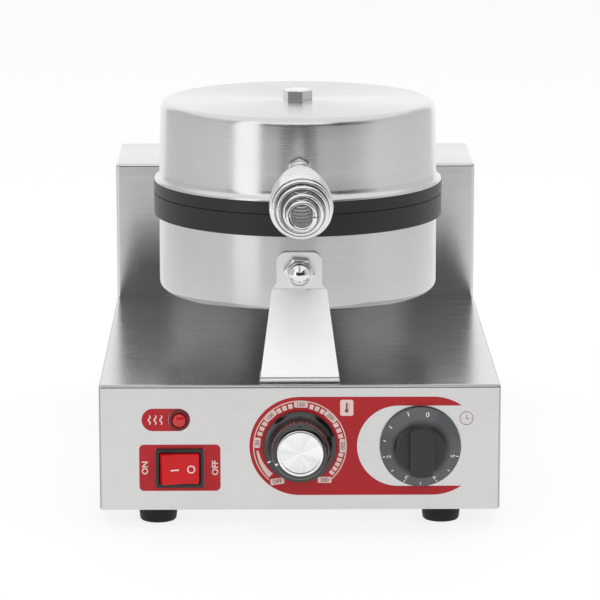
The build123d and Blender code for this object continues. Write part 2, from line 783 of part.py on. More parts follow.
def hinge_bracket():
    """The welded channel from the column to the lower shell, with ears for the hinge and stop pins."""
    (stop_y, stop_z), _ = stop_pin_place()
    floor = bracket_floor_height
    rise = floor + bracket_wall_height
    wall_y = head_y + math.sqrt(shell_radius ** 2 - bracket_half_width ** 2)
    profile = side_profile(
        [(wall_y, floor), (column_y, floor), (column_y, column_top - fold_radius - 2), (wall_y, rise)],
        [((hinge_y, hinge_z), hinge_pin_radius + ear_rim), ((stop_y, stop_z), stop_pin_radius + ear_rim - 1)])
    outer = extrude(profile, bracket_half_width, both=True)
    outer += block(-bracket_half_width, bracket_half_width, wall_y - 2 * knuckle_radius, wall_y, floor, rise)
    inner_half = bracket_half_width - hinge_sheet
    outer -= block(-inner_half, inner_half, head_y, column_y, floor + hinge_sheet, hinge_z * 2)
    for side in (-1, 1):
        x0, x1 = sorted((side * bracket_half_width, side * (bracket_half_width + bracket_flange)))
        outer += block(x0, x1, column_y - hinge_sheet, column_y, floor, rise + 6)
    outer += cradle(lower_radius, floor, rise)
    outer -= head_place * Pos(0, 0, lower_plate_bottom) * Cylinder(shell_radius, 2 * lower_shell_height)
    outer -= block(-inner_half, inner_half, hinge_y - 2 * hinge_gap, column_y,
                   floor + hinge_sheet, hinge_z * 2)
    hole = hinge_pin_radius + running_clearance
    span = bracket_half_width
    outer -= rod((-span, hinge_y, hinge_z), (span, hinge_y, hinge_z), hole)
    outer -= rod((-span, stop_y, stop_z), (span, stop_y, stop_z), stop_pin_radius + running_clearance)
    for x, z in bracket_bolt_places():
        outer -= thread((x, column_y - hinge_sheet, z), (x, column_y, z), m6_radius + hole_clearance)
    for seat, way in cradle_screw_places(lower_cradle_z, lower_radius):
        outer -= thread(seat, along(seat, way, hinge_sheet + sheet), m4_radius + hole_clearance)
    return outer


def bracket_bolts():
    return Compound(children=[screw((x, column_y - hinge_sheet, z), (0, 1, 0), m6_flats / 2, m6_head_height,
                                    m6_radius, hinge_sheet + sheet + m6_tail) for x, z in bracket_bolt_places()])


def bracket_nuts():
    nuts = []
    for x, z in bracket_bolt_places():
        start = (x, column_y + sheet, z)
        end = (x, column_y + sheet + m6_nut_height, z)
        nuts.append(prism(start, end, m6_flats) - thread(start, end, m6_radius + hole_clearance))
    return Compound(children=nuts)


def cradle_screws(z, wall):
    return Compound(children=[screw(seat, way, m4_head_radius, m4_head_height, m4_radius,
                                    hinge_sheet + sheet + cradle_screw_tail, 8)
                              for seat, way in cradle_screw_places(z, wall)])


def hinge_pin():
    """The headed pin that the lid turns on."""
    span = bracket_half_width + hinge_pin_end
    pin = rod((-bracket_half_width, hinge_y, hinge_z), (span, hinge_y, hinge_z), hinge_pin_radius)
    head = rod((-bracket_half_width - 3, hinge_y, hinge_z), (-bracket_half_width, hinge_y, hinge_z),
               hinge_pin_radius + 2.5)
    return pin + head


def stop_pin():
    (y, z), _ = stop_pin_place()
    span = bracket_half_width + hinge_pin_end
    pin = rod((-bracket_half_width, y, z), (span, y, z), stop_pin_radius)
    return pin + rod((-bracket_half_width - 3, y, z), (-bracket_half_width, y, z), stop_pin_radius + 2.5)


def pin_clips():
    """The two push-on washers that keep the pins in their ears."""
    clips = []
    for (y, z), radius in (((hinge_y, hinge_z), hinge_pin_radius), (stop_pin_place()[0], stop_pin_radius)):
        start = (bracket_half_width, y, z)
        end = (bracket_half_width + 1.2, y, z)
        clips.append(prism(start, end, 2 * radius + 5, 12) - rod(start, end, radius + running_clearance))
    return Compound(children=clips)


def hinge_arm():
    """The folded channel on the back of the lid, whose cheeks carry the hinge pin's holes."""
    _, normal = stop_pin_place()
    tip_z = upper_plate_top + arm_band_high
    tip_y = head_y + lid_radius(tip_z) + hinge_sheet
    low_z = upper_plate_top + arm_band_low
    heel_y = head_y + shell_radius
    cheek = side_profile([(tip_y, tip_z), (heel_y, tip_z), (heel_y, low_z)],
                         [((hinge_y, hinge_z), knuckle_radius)])
    root = Plane.YZ * (Pos(heel_y + sheet - arm_root / 2, (low_z + tip_z) / 2) * Rectangle(arm_root, tip_z - low_z))
    outer = extrude(cheek + root, arm_half_width, both=True)
    inner_half = arm_half_width - hinge_sheet
    hollow = extrude(cheek + root, inner_half, both=True)
    back = Vector(0, math.cos(normal), math.sin(normal))
    hollow = Pos(*(back * -hinge_sheet)) * hollow
    hollow += Pos(0, 0, -hinge_sheet) * hollow
    web_end = Plane(origin=(0, hinge_y, hinge_z), x_dir=(1, 0, 0), z_dir=(0, -math.sin(normal), math.cos(normal)))
    below = web_end * Pos(0, 0, -knuckle_radius) * Box(2 * inner_half, 4 * knuckle_radius, 2 * knuckle_radius)
    arm = outer - hollow - below
    arm += cradle(lid_radius, low_z, tip_z)
    lid_core = turned([(0, upper_plate_top), (lid_radius(upper_plate_top), upper_plate_top),
                       (lid_radius(upper_shell_top), upper_shell_top), (0, upper_shell_top)], head_y)
    arm -= lid_core
    hole = hinge_pin_radius + running_clearance
    arm -= rod((-bracket_half_width, hinge_y, hinge_z), (bracket_half_width, hinge_y, hinge_z), hole)
    arm -= rod((0, head_y, tail_hole_high), (0, head_y + shell_radius + hinge_sheet, tail_hole_high), tail_hole_radius)
    for seat, way in cradle_screw_places(upper_cradle_z, lid_radius):
        arm -= thread(seat, along(seat, way, hinge_sheet + sheet), m4_radius + hole_clearance)
    return arm


# Handle


def handle_point(distance, radius=0.0, angle=0.0):
    """A point by its distance from the lid's wall along the handle, and its place around it."""
    tilt = math.radians(handle_tilt)
    wall = head_y - lid_radius(handle_z)
    x = radius * math.cos(angle)
    up = radius * math.sin(angle)
    y = wall - distance * math.cos(tilt) - up * math.sin(tilt)
    z = handle_z - distance * math.sin(tilt) + up * math.cos(tilt)
    return (x, y, z)


def coil_point(turn):
    """The middle of the handle's wire after a number of turns: slim root, round belly, open tip."""
    start = handle_nut_height + 2 * wire_radius
    length = handle_length - wire_radius - start
    share = turn / coil_turns
    root_share = coil_root_turns / coil_turns
    tip_share = 1 - coil_tip_turns / coil_turns
    if share < root_share:
        radius = coil_root_radius
    elif share < coil_belly_share:
        swell = (share - root_share) / (coil_belly_share - root_share)
        radius = coil_root_radius + (coil_belly_radius - coil_root_radius) * math.sin(math.pi / 2 * swell) ** coil_swell
    else:
        close = min(1, (share - coil_belly_share) / (tip_share - coil_belly_share))
        radius = coil_tip_radius + (coil_belly_radius - coil_tip_radius) * math.cos(math.pi / 2 * close)
    return Vector(*handle_point(start + length * share, radius, 2 * math.pi * turn))


def biarc(p0, t0, p1, t1):
    """Two arcs that join two points and keep the direction given at each of them."""
    gap = p1 - p0
    both = t0 + t1
    spread = 2 * (1 - t0.dot(t1))
    reach = (-gap.dot(both) + math.sqrt(gap.dot(both) ** 2 + spread * gap.dot(gap))) / spread
    middle = (p0 + p1 + (t0 - t1) * reach) * 0.5
    joint = (p1 - t1 * reach) - (p0 + t0 * reach)
    return [TangentArc(p0, middle, tangent=t0), TangentArc(middle, p1, tangent=joint.normalized())]


def handle_coil():
    """The cool grip: one wire wound into a hollow bulb, its section kept to four sides."""
    quarters = int(4 * coil_turns)
    step = 0.002
    turns = [i / 4 for i in range(quarters + 1)]
    points = [coil_point(t) for t in turns]
    ways = [(coil_point(t + step) - coil_point(t - step)).normalized() for t in turns]
    arcs = []
    for i in range(quarters):
        arcs += biarc(points[i], ways[i], points[i + 1], ways[i + 1])
    path = Wire([arc.edge() for arc in arcs])
    samples = [coil_point(i / 24) for i in range(24 * coil_turns + 1)]
    gap = min((samples[i] - samples[j]).length for i in range(len(samples))
              for j in range(i + 14, min(i + 40, len(samples)))) - 2 * wire_radius
    print(f"least gap between the coil's turns: {gap:.2f} mm")
    section = Plane(origin=path @ 0, z_dir=path % 0) * RegularPolygon(wire_radius * 1.12, 4)
    return sweep(section, path)


def handle_stud():
    """The threaded stud that the coil's root is wound on."""
    return rod(handle_point(-stud_inside), handle_point(stud_outside), stud_radius)


def handle_nuts():
    """The nut against each side of the lid's wall."""
    nuts = []
    half = handle_nut_flats / math.sqrt(3)
    slope = math.radians(handle_tilt) + math.atan2(lid_draft, upper_shell_height)
    lift = half * math.sin(slope) + 0.05
    sink = lift + sheet + half ** 2 / shell_radius
    for a, b in ((lift, lift + handle_nut_height), (-sink, -sink - handle_nut_height)):
        start = handle_point(a)
        end = handle_point(b)
        nuts.append(prism(start, end, handle_nut_flats) - rod(start, end, stud_radius + running_clearance))
    return Compound(children=nuts)


# Front support


def support_screw_places():
    y = front_y + support_foot_inset + support_foot_length * 0.7
    return [(side * support_screw_spread / 2, y) for side in (-1, 1)]


def front_support():
    """The bent strip that props the front of the lower shell on the deck's front edge."""
    half = support_sheet / 2
    tab_y = head_y - shell_radius - half - 0.05
    top = deck_z + support_tab_high
    strip = folded([(tab_y, top), (tab_y, deck_z + support_tab_low),
                    (front_y + support_foot_inset + half, deck_z + half),
                    (front_y + support_foot_inset + support_foot_length, deck_z + half)],
                   support_sheet, support_bend, support_base_width)
    shoulder = deck_z + support_tab_low
    outline = Polygon((-support_base_width / 2, deck_z), (support_base_width / 2, deck_z),
                      (support_shoulder_width / 2, shoulder), (support_tab_width / 2, shoulder + 4),
                      (support_tab_width / 2, top), (-support_tab_width / 2, top),
                      (-support_tab_width / 2, shoulder + 4), (-support_shoulder_width / 2, shoulder), align=None)
    outline = fillet(outline.vertices().group_by(Axis.Y)[-1], support_tab_corner)
    strip &= Pos(0, front_y - 10, 0) * extrude(Plane.XZ * outline, -(head_y - front_y))
    strip -= thread((0, head_y, support_bolt_z), (0, front_y, support_bolt_z), m10_radius + hole_clearance)
    for x, y in support_screw_places():
        strip -= thread((x, y, deck_z), (x, y, deck_z + support_sheet), m4_radius + hole_clearance)
    return strip


def support_screws():
    return Compound(children=[screw((x, y, deck_z + support_sheet), (0, 0, -1), m4_head_radius, m4_head_height,
                                    m4_radius, support_sheet + sheet + screw_tail, 8) for x, y in support_screw_places()])


def support_stud():
    """The bolt whose head is inside the lower shell and whose thread takes the cap nut."""
    inside = head_y - math.sqrt((shell_radius - sheet) ** 2 - (m10_flats / math.sqrt(3)) ** 2)
    seat = (0, inside, support_bolt_z)
    return screw(seat, (0, -1, 0), m10_flats / 2, m10_head_height, m10_radius, sheet + support_sheet + cap_nut_hex)


def support_cap_nut():
    """The domed cap nut on the front of the support."""
    seat = head_y - shell_radius - support_sheet - 0.1
    half = cap_nut_radius
    dome = revolve(make_face(Plane.XY * Polyline(
        (0, 0), (half, 0), (half, 1.6), (half * 0.86, cap_nut_dome * 0.62), (half * 0.5, cap_nut_dome * 0.9),
        (0, cap_nut_dome), close=True)), Axis.Y)
    nut = prism((0, 0, 0), (0, cap_nut_hex, 0), cap_nut_flats) + Pos(0, cap_nut_hex, 0) * dome
    nut -= thread((0, 0, 0), (0, cap_nut_hex + 1, 0), m10_radius + hole_clearance)
    return Pos(0, seat, support_bolt_z) * Rot(0, 0, 180) * nut


# Controls


def heat_label():
    pill = SlotOverall(heat_label_length, heat_label_height)
    pill -= Pos(lamp_x - heat_label_x, 0) * Circle(lamp_bezel_radius + hole_clearance)
    return at_panel(extrude(pill, label_sheet), heat_label_x, lamp_z)


def switch_label():
    plate = RectangleRounded(switch_label_width, switch_label_height, switch_label_corner)
    plate -= Rectangle(bezel_width + hole_clearance, bezel_height + hole_clearance)
    return at_panel(extrude(plate, label_sheet), switch_x, switch_z)


def control_label():
    """The plate behind both knobs: a long rounded shape with an open window around the timer."""
    left = Circle(control_label_radius)
    bar = Polygon((0, -control_label_radius), (control_label_right, -control_label_radius),
                  (control_label_right, control_label_radius), (0, control_label_radius), align=None)
    plate = left + bar + Pos(control_label_right, 0) * Circle(control_label_radius)
    window = Pos(window_left, 0) * Circle(window_radius)
    window += Polygon((window_left, -window_radius), (control_label_right * 2, -window_radius),
                      (control_label_right * 2, window_radius), (window_left, window_radius), align=None)
    plate -= window
    plate -= Circle(bushing_radius + hole_clearance)
    return at_panel(extrude(plate, label_sheet), thermostat_x, panel_row)


def control_body(size, x):
    """A rotary control behind the panel, with the bushing that its shaft turns in."""
    width, depth, height = size
    body = block(-width / 2, width / 2, -height / 2, height / 2, -sheet - depth, -sheet)
    body += rod((0, 0, -sheet), (0, 0, bushing_length), bushing_radius)
    body -= rod((0, 0, -sheet - depth / 2), (0, 0, bushing_length), shaft_radius + running_clearance)
    return at_panel(body, x, panel_row)


def control_nuts():
    nuts = []
    for x, base in ((thermostat_x, label_sheet), (timer_x, 0.0)):
        nut = prism((0, 0, base), (0, 0, base + bushing_nut_height), bushing_nut_flats)
        nut -= rod((0, 0, base), (0, 0, base + bushing_nut_height), bushing_radius + running_clearance)
        nuts.append(at_panel(nut, x, panel_row))
    return Compound(children=nuts)


def control_shaft(size, x):
    low = -sheet - size[1] / 2 + 0.5
    return at_panel(rod((0, 0, low), (0, 0, shaft_length), shaft_radius), x, panel_row)


def knob_bore(base):
    recess = rod((0, 0, base), (0, 0, base + knob_recess_depth), knob_recess_radius)
    return recess + rod((0, 0, base), (0, 0, shaft_length + 0.2), shaft_radius + running_clearance)


def thermostat_knob():
    """The glossy knob: a low rim, a broad cone and a flat top that holds the metal cap."""
    base = label_sheet + knob_stand_off
    top = thermostat_knob_height - thermostat_cap_height
    knob = turned([(0, base), (thermostat_knob_radius, base), (thermostat_knob_radius, base + thermostat_rim),
                   (thermostat_cap_radius + 3.2, top * 0.62), (thermostat_cap_radius + 0.6, top), (0, top)])
    return at_panel(knob - knob_bore(base), thermostat_x, panel_row)


def thermostat_cap():
    """The spun metal disc on the thermostat knob."""
    top = thermostat_knob_height
    low = top - thermostat_cap_height
    cap = turned([(0, low), (thermostat_cap_radius, low), (thermostat_cap_radius - 0.5, top), (0, top)])
    return at_panel(cap, thermostat_x, panel_row)


def timer_knob():
    """The satin timer knob: numbered skirt, round drum and a straight grip across it."""
    base = label_sheet + knob_stand_off
    skirt = turned([(0, base), (timer_knob_radius, base), (timer_knob_radius, base + timer_rim),
                    (timer_drum_radius + 1.2, timer_skirt_height), (timer_drum_radius, timer_drum_height),
                    (0, timer_drum_height)])
    grip = Circle(timer_drum_radius) & Rectangle(timer_grip_width, 2 * timer_drum_radius)
    skirt += extrude(Plane.XY.offset(base) * grip, timer_grip_height - base)
    return at_panel(skirt - knob_bore(base), timer_x, panel_row)


def switch_body():
    """The snap-in switch: bezel on the panel, hollow body behind it and its two terminals."""
    inner = Rectangle(rocker_width + 2 * rocker_gap, rocker_height + 2 * rocker_gap)
    bezel = extrude(Rectangle(bezel_width, bezel_height), bezel_proud)
    neck = Rectangle(bezel_width - 2 * switch_wall - 0.2, bezel_height - 2 * switch_wall - 0.2)
    body = bezel + extrude(neck, -switch_body_depth)
    body -= extrude(Plane.XY.offset(bezel_proud) * inner, -(bezel_proud + switch_body_depth - switch_wall))
    for x in (-7, 7):
        body += block(x - 0.4, x + 0.4, -3.2, 3.2, -switch_body_depth - 8, -switch_body_depth)
    return at_panel(body, switch_x, switch_z)


def power_rocker():
    """The rocker at OFF: a dished face over a round heel that turns about an upright axis."""
    radius = rocker_width / 2
    half = math.sqrt(radius ** 2 - rocker_edge ** 2)
    heel = make_face([
        *Polyline((-half, rocker_edge), (0, rocker_edge - rocker_dish), (half, rocker_edge)).edges(),
        ThreePointArc((half, rocker_edge), (radius, 0), (radius * math.cos(0.5), -radius * math.sin(0.5))),
        Line((radius * math.cos(0.5), -radius * math.sin(0.5)), (-radius * math.cos(0.5), -radius * math.sin(0.5))),
        ThreePointArc((-radius * math.cos(0.5), -radius * math.sin(0.5)), (-radius, 0), (-half, rocker_edge))])
    rocker = extrude(heel, rocker_height / 2, both=True)
    rocker = Rot(180, 0, 0) * rocker
    return Pos(switch_x, front_y, switch_z) * Rot(0, 0, rocker_swing) * rocker


def lamp_body():
    """The pilot lamp: a ring on the panel and its body behind it."""
    ring = turned([(lamp_lens_radius - 0.8, 0), (lamp_bezel_radius, 0), (lamp_bezel_radius - 0.6, lamp_proud - 1.0),
                   (lamp_lens_radius - 0.8, lamp_proud - 1.0)])
    tube = rod((0, 0, -lamp_body_length), (0, 0, 0), lamp_lens_radius)
    tube -= rod((0, 0, -4), (0, 0, 0), lamp_lens_radius - 0.8)
    return at_panel(ring + tube, lamp_x, lamp_z)


def lamp_lens():
    """The domed red lens inside the ring."""
    r = lamp_lens_radius - 0.8
    lens = turned([(0, -4), (r, -4), (r, lamp_proud - 0.6), (r * 0.7, lamp_proud + 0.8), (0, lamp_proud + 1.2)])
    return at_panel(lens, lamp_x, lamp_z)


def terminal_block():
    """The mains terminal block on the bottom plate, with its three clamps in a row."""
    length, depth, height = terminal_box
    y = back_y - terminal_setback
    body = block(terminal_x - length / 2, terminal_x + length / 2, y - depth / 2, y + depth / 2,
                 panel_bottom, panel_bottom + height)
    for i in (-1, 0, 1):
        x = terminal_x + i * length / 3
        body -= block(x - 4, x + 4, y - depth / 2, y - depth / 6, panel_bottom + height / 2, panel_bottom + height)
    return body


parts = {
    "base_shell": base_shell(),
    "column_shell": column_shell(),
    "rear_cover": rear_cover(),
    "bottom_plate": bottom_plate(),
    "feet": feet(),
    "foot_screws": foot_screws(),
    "foot_nuts": foot_nuts(),
    "flange_screws": flange_screws(),
    "cover_screws": cover_screws(),
    "cable_gland": cable_gland(),
    "gland_nut": gland_nut(),
    "lower_plate": lower_plate(),
    "upper_plate": upper_plate(),
    "lower_shell": lower_shell(),
    "upper_shell": upper_shell(),
    "lower_element": element(element_low + element_side / 2),
    "upper_element": element(element_high - element_side / 2),
    "lower_clamp": clamp(clamp_low),
    "upper_clamp": clamp(element_high),
    "lower_pad": pad(lower_shell_bottom + sheet, clamp_low, support_bolt_z),
    "upper_pad": pad(clamp_high, upper_shell_top - sheet, handle_z),
    "lower_bolt": lower_bolt(),
    "lid_bolt": lid_bolt(),
    "thermostat_sensor": thermostat_sensor(),
    "thermal_cutout": thermal_cutout(),
    "hinge_bracket": hinge_bracket(),
    "bracket_bolts": bracket_bolts(),
    "bracket_nuts": bracket_nuts(),
    "lower_cradle_screws": cradle_screws(lower_cradle_z, lower_radius),
    "upper_cradle_screws": cradle_screws(upper_cradle_z, lid_radius),
    "hinge_pin": hinge_pin(),
    "stop_pin": stop_pin(),
    "pin_clips": pin_clips(),
    "hinge_arm": hinge_arm(),
    "handle_coil": handle_coil(),
    "handle_stud": handle_stud(),
    "handle_nuts": handle_nuts(),
    "front_support": front_support(),
    "support_screws": support_screws(),
    "support_stud": support_stud(),
    "support_cap_nut": support_cap_nut(),
    "heat_label": heat_label(),
    "switch_label": switch_label(),
    "control_label": control_label(),
    "thermostat_body": control_body(thermostat_box, thermostat_x),
    "timer_body": control_body(timer_box, timer_x),
    "control_nuts": control_nuts(),
    "thermostat_shaft": control_shaft(thermostat_box, thermostat_x),
    "timer_shaft": control_shaft(timer_box, timer_x),
    "thermostat_knob": thermostat_knob(),
    "thermostat_cap": thermostat_cap(),
    "timer_knob": timer_knob(),
    "switch_body": switch_body(),
    "power_rocker": power_rocker(),
    "lamp_body": lamp_body(),
    "lamp_lens": lamp_lens(),
    "terminal_block": terminal_block(),
}

for name, shape in parts.items():
    save(name, shape)
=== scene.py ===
# %% [markdown]
# # A heart waffle maker, dressed over its CAD frame
# The imported CAD model comes in first and fixes every place and every joint. This script keeps the
# solids whose shape is already right, models the pieces that need a finer form, and gives
# every surface a procedural finish. All lengths are metres, in the frame that the CAD uses.

# %% Load the frame
import math

import bpy
from mathutils import Matrix, Vector


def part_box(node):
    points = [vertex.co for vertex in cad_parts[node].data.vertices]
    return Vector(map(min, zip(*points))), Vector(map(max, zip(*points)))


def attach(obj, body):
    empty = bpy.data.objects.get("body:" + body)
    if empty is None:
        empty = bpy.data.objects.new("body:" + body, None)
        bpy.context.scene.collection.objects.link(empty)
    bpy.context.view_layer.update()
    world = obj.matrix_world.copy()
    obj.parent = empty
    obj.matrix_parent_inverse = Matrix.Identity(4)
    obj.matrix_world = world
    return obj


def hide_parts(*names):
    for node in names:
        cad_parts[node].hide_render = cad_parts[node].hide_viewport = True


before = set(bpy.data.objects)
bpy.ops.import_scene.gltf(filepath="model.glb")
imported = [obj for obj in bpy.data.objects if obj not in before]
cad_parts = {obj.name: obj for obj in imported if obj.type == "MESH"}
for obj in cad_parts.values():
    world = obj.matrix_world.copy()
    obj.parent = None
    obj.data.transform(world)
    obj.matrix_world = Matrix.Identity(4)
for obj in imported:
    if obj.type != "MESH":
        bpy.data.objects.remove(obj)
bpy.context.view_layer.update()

# %% [markdown]
# ## Camera
# A catalogue photograph of a kitchen appliance is taken from far away with a long lens, so that
# upright edges stay upright. A lens near 200 mm from about two metres gives that flat look. The
# small vertical shift stands for the crop of the photograph.

# %% Place the camera
camera_data = bpy.data.cameras.new("camera")
camera_data.lens = 197.04
camera_data.sensor_width = 36.0
camera_data.shift_y = 0.0097
camera = bpy.data.objects.new("camera", camera_data)
bpy.context.scene.collection.objects.link(camera)
camera.location = (-0.0227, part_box("base_shell")[0].y - 1.9844, 0.55265)
camera.rotation_euler = (math.radians(90 - 11.74), 0, math.radians(-0.657))
bpy.context.scene.camera = camera
bpy.context.scene.view_settings.view_transform = "Standard"
print("camera stands", round(camera.location.length, 2), "m from the middle of the base")

# %% [markdown]
# ## Where things are
# The pieces are set on the CAD by asking for the boxes of its nodes. The head is the round part
# with both plates, the panel is the upright front of the base.

# %% Read places from the frame
MM = 0.001


def middle(name):
    """The middle of a CAD node's box."""
    low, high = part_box(name)
    return (low + high) / 2


def in_mm(pairs):
    """Pairs of millimetres as metres."""
    return [(first * MM, second * MM) for first, second in pairs]


base_low, base_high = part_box("base_shell")
panel_y = base_low.y
head = middle("lower_plate")
plate_low, plate_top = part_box("lower_plate")
lid_low, lid_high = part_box("upper_shell")
print("panel at y", round(panel_y, 4), "deck at z", round(base_high.z, 4), "head at y", round(head.y, 4))

# %% [markdown]
# ## Shader groups
# Several finishes share an effect: the fine lines of brushing, faint marks of handling, the pebble
# of a casting. Each effect is built once as a node group that takes a position and gives out a
# mask, a colour or a height, and each material places it with its own values.

# %% Make an empty group with named sockets
FLOAT, COLOR, VECTOR = "NodeSocketFloat", "NodeSocketColor", "NodeSocketVector"


def shader_group(name, inputs, outputs):
    """A shader node group, with its inputs as (label, kind, value) and outputs as (label, kind)."""
    tree = bpy.data.node_groups.new(name, "ShaderNodeTree")
    for label, kind, value in inputs:
        tree.interface.new_socket(label, in_out="INPUT", socket_type=kind).default_value = value
    for label, kind in outputs:
        tree.interface.new_socket(label, in_out="OUTPUT", socket_type=kind)
    return tree, tree.nodes.new("NodeGroupInput").outputs, tree.nodes.new("NodeGroupOutput").inputs


def node(tree, kind, links=(), **settings):
    """A node with its settings, and each of its inputs linked or set as (input, source)."""
    made = tree.nodes.new(kind)
    for key, value in settings.items():
        setattr(made, key, value)
    for label, source in links:
        if isinstance(source, bpy.types.NodeSocket):
            tree.links.new(source, made.inputs[label])
        else:
            made.inputs[label].default_value = source
    return made


def feed(tree, inputs, **sources):
    """Link results to the named inputs of a shader or of a group's end."""
    for label, source in sources.items():
        tree.links.new(source, inputs[label.replace("_", " ")])


# %% One function for each kind of node that comes back often
def maths(tree, operation, first, second=0.0, clamp=False):
    """One Math node and its result."""
    return node(tree, "ShaderNodeMath", [(0, first), (1, second)],
                operation=operation, use_clamp=clamp).outputs[0]


def vector_maths(tree, operation, first, second=(0, 0, 0)):
    """One Vector Math node and its result."""
    return node(tree, "ShaderNodeVectorMath", [(0, first), (1, second)],
                operation=operation).outputs["Value" if operation == "DOT_PRODUCT" else "Vector"]


def vector(tree, x, y, z):
    """Three values as one vector."""
    return node(tree, "ShaderNodeCombineXYZ", [(0, x), (1, y), (2, z)]).outputs[0]


def parted(tree, source):
    """The X, Y and Z of a vector."""
    return node(tree, "ShaderNodeSeparateXYZ", [(0, source)]).outputs


def ramp(tree, value, low, high, to_low=0.0, to_high=1.0, **settings):
    """The range from low to high, mapped onto another range and held at its ends."""
    return node(tree, "ShaderNodeMapRange", [("Value", value), ("From Min", low), ("From Max", high),
                                             ("To Min", to_low), ("To Max", to_high)],
                **settings).outputs["Result"]


def mixed(tree, share, first, second):
    """From the first colour to the second, by a share."""
    return node(tree, "ShaderNodeMix", [(0, share), (6, first), (7, second)], data_type="RGBA").outputs[2]


def noise(tree, position, scale, detail, roughness, distortion=0.0):
    """One Noise Texture, most of which lies between NOISE_LOW and NOISE_HIGH."""
    made = node(tree, "ShaderNodeTexNoise", [("Vector", position), ("Scale", scale), ("Detail", detail),
                                             ("Roughness", roughness), ("Distortion", distortion)])
    return made.outputs["Fac"]


NOISE_LOW, NOISE_HIGH = 0.3, 0.7


# %% Group: the lines of brushing
def stretched_noise(tree, position, stretch, detail):
    """Noise that is squeezed by its own amount in each direction, which draws it out into lines."""
    return noise(tree, vector_maths(tree, "MULTIPLY", position, stretch), 1.0, detail, 0.65)


brushing, given, result = shader_group(
    "brushing",
    [("Position", VECTOR, (0, 0, 0)), ("Along", FLOAT, 12.0), ("Across", FLOAT, 2400.0),
     ("Smooth", FLOAT, 0.15), ("Rough", FLOAT, 0.3), ("Flat Sheet", FLOAT, 1.0)],
    [("Height", FLOAT), ("Roughness", FLOAT)])
facing = node(brushing, "ShaderNodeNewGeometry").outputs["Normal"]
sideways = maths(brushing, "ABSOLUTE", parted(brushing, facing)["X"])
on_side = maths(brushing, "MULTIPLY", maths(brushing, "GREATER_THAN", sideways, 0.7), given["Flat Sheet"])
along, across = given["Along"], given["Across"]
front_lines, side_lines = [stretched_noise(brushing, given["Position"], vector(brushing, x, y, across), 3.0)
                           for x, y in ((along, across), (across, along))]
lines = node(brushing, "ShaderNodeMix", [(0, on_side), (2, front_lines), (3, side_lines)]).outputs[0]
feed(brushing, result, Height=lines,
     Roughness=ramp(brushing, lines, NOISE_LOW, NOISE_HIGH, given["Smooth"], given["Rough"]))

# %% Group: faint marks of handling and cleaning
handling, given, result = shader_group(
    "handling",
    [("Position", VECTOR, (0, 0, 0)), ("Scale", FLOAT, 18.0), ("Clean", COLOR, (0.8, 0.8, 0.8, 1)),
     ("Marked", COLOR, (0.7, 0.7, 0.7, 1)), ("Amount", FLOAT, 0.5)],
    [("Color", COLOR)])
cloudy = noise(handling, given["Position"], given["Scale"], 5.0, 0.6, 0.6)
patches = ramp(handling, cloudy, 0.38, 0.68, 0.0, given["Amount"])
feed(handling, result, Color=mixed(handling, patches, given["Clean"], given["Marked"]))

# %% Group: the pebble of a casting or a moulding
pebble, given, result = shader_group(
    "pebble",
    [("Position", VECTOR, (0, 0, 0)), ("Size", FLOAT, 900.0), ("Smooth", FLOAT, 0.4),
     ("Rough", FLOAT, 0.6)],
    [("Height", FLOAT), ("Roughness", FLOAT)])
grains = noise(pebble, given["Position"], given["Size"], 3.0, 0.55)
feed(pebble, result, Height=grains,
     Roughness=ramp(pebble, grains, NOISE_LOW, NOISE_HIGH, given["Smooth"], given["Rough"]))

# %% Group: a painted dark reflection along the folds of a box of sheet
# A dark line is painted along each fold: a painted dark reflection of the bend. The mask rises
# where two of the three distances to the box's outer faces are less than the fold's reach.
FOLD_REFLECTION_STRENGTH = 0.75
folds, given, result = shader_group(
    "folds", [("Position", VECTOR, (0, 0, 0)), ("High Corner", VECTOR, (0, 0, 0)), ("Front", FLOAT, 0.0),
              ("Reach", FLOAT, 1.7 * MM)], [("Mask", FLOAT)])
at_point, corner = parted(folds, given["Position"]), parted(folds, given["High Corner"])
distances = [maths(folds, "SUBTRACT", corner["X"], maths(folds, "ABSOLUTE", at_point["X"])),
             maths(folds, "SUBTRACT", at_point["Y"], given["Front"]),
             maths(folds, "SUBTRACT", corner["Z"], at_point["Z"])]
full_at = maths(folds, "MULTIPLY", given["Reach"], 0.3)
close = [ramp(folds, distance, given["Reach"], full_at) for distance in distances]
mask = maths(folds, "MULTIPLY", close[0], close[1])
for first, second in ((1, 2), (0, 2)):
    mask = maths(folds, "MAXIMUM", mask, maths(folds, "MULTIPLY", close[first], close[second]))
feed(folds, result, Mask=maths(folds, "MULTIPLY", mask, FOLD_REFLECTION_STRENGTH))

# %% Group: a position unrolled around an upright axis
# Lines that run around a turned wall need the angle as their first coordinate. The group centres
# the position on the axis and gives out arc length, distance from the axis and height.
unrolled, given, result = shader_group(
    "unrolled", [("Position", VECTOR, (0, 0, 0)), ("Centre", VECTOR, (0, 0, 0)), ("Radius", FLOAT, 0.09)],
    [("Position", VECTOR)])
centred = parted(unrolled, vector_maths(unrolled, "SUBTRACT", given["Position"], given["Centre"]))
arc = maths(unrolled, "MULTIPLY", maths(unrolled, "ARCTAN2", centred["X"], centred["Y"]), given["Radius"])
squares = [maths(unrolled, "MULTIPLY", centred[way], centred[way]) for way in "XY"]
reach = maths(unrolled, "SQRT", maths(unrolled, "ADD", *squares))
feed(unrolled, result, Position=vector(unrolled, arc, reach, centred["Z"]))
print("shader groups:", sorted(tree.name for tree in bpy.data.node_groups))

# %% [markdown]
# ## Finishes
# Every finish is a small recipe over the same Principled shader. What is the same all over goes
# straight onto the shader's sockets, and what changes over the surface comes from the groups.


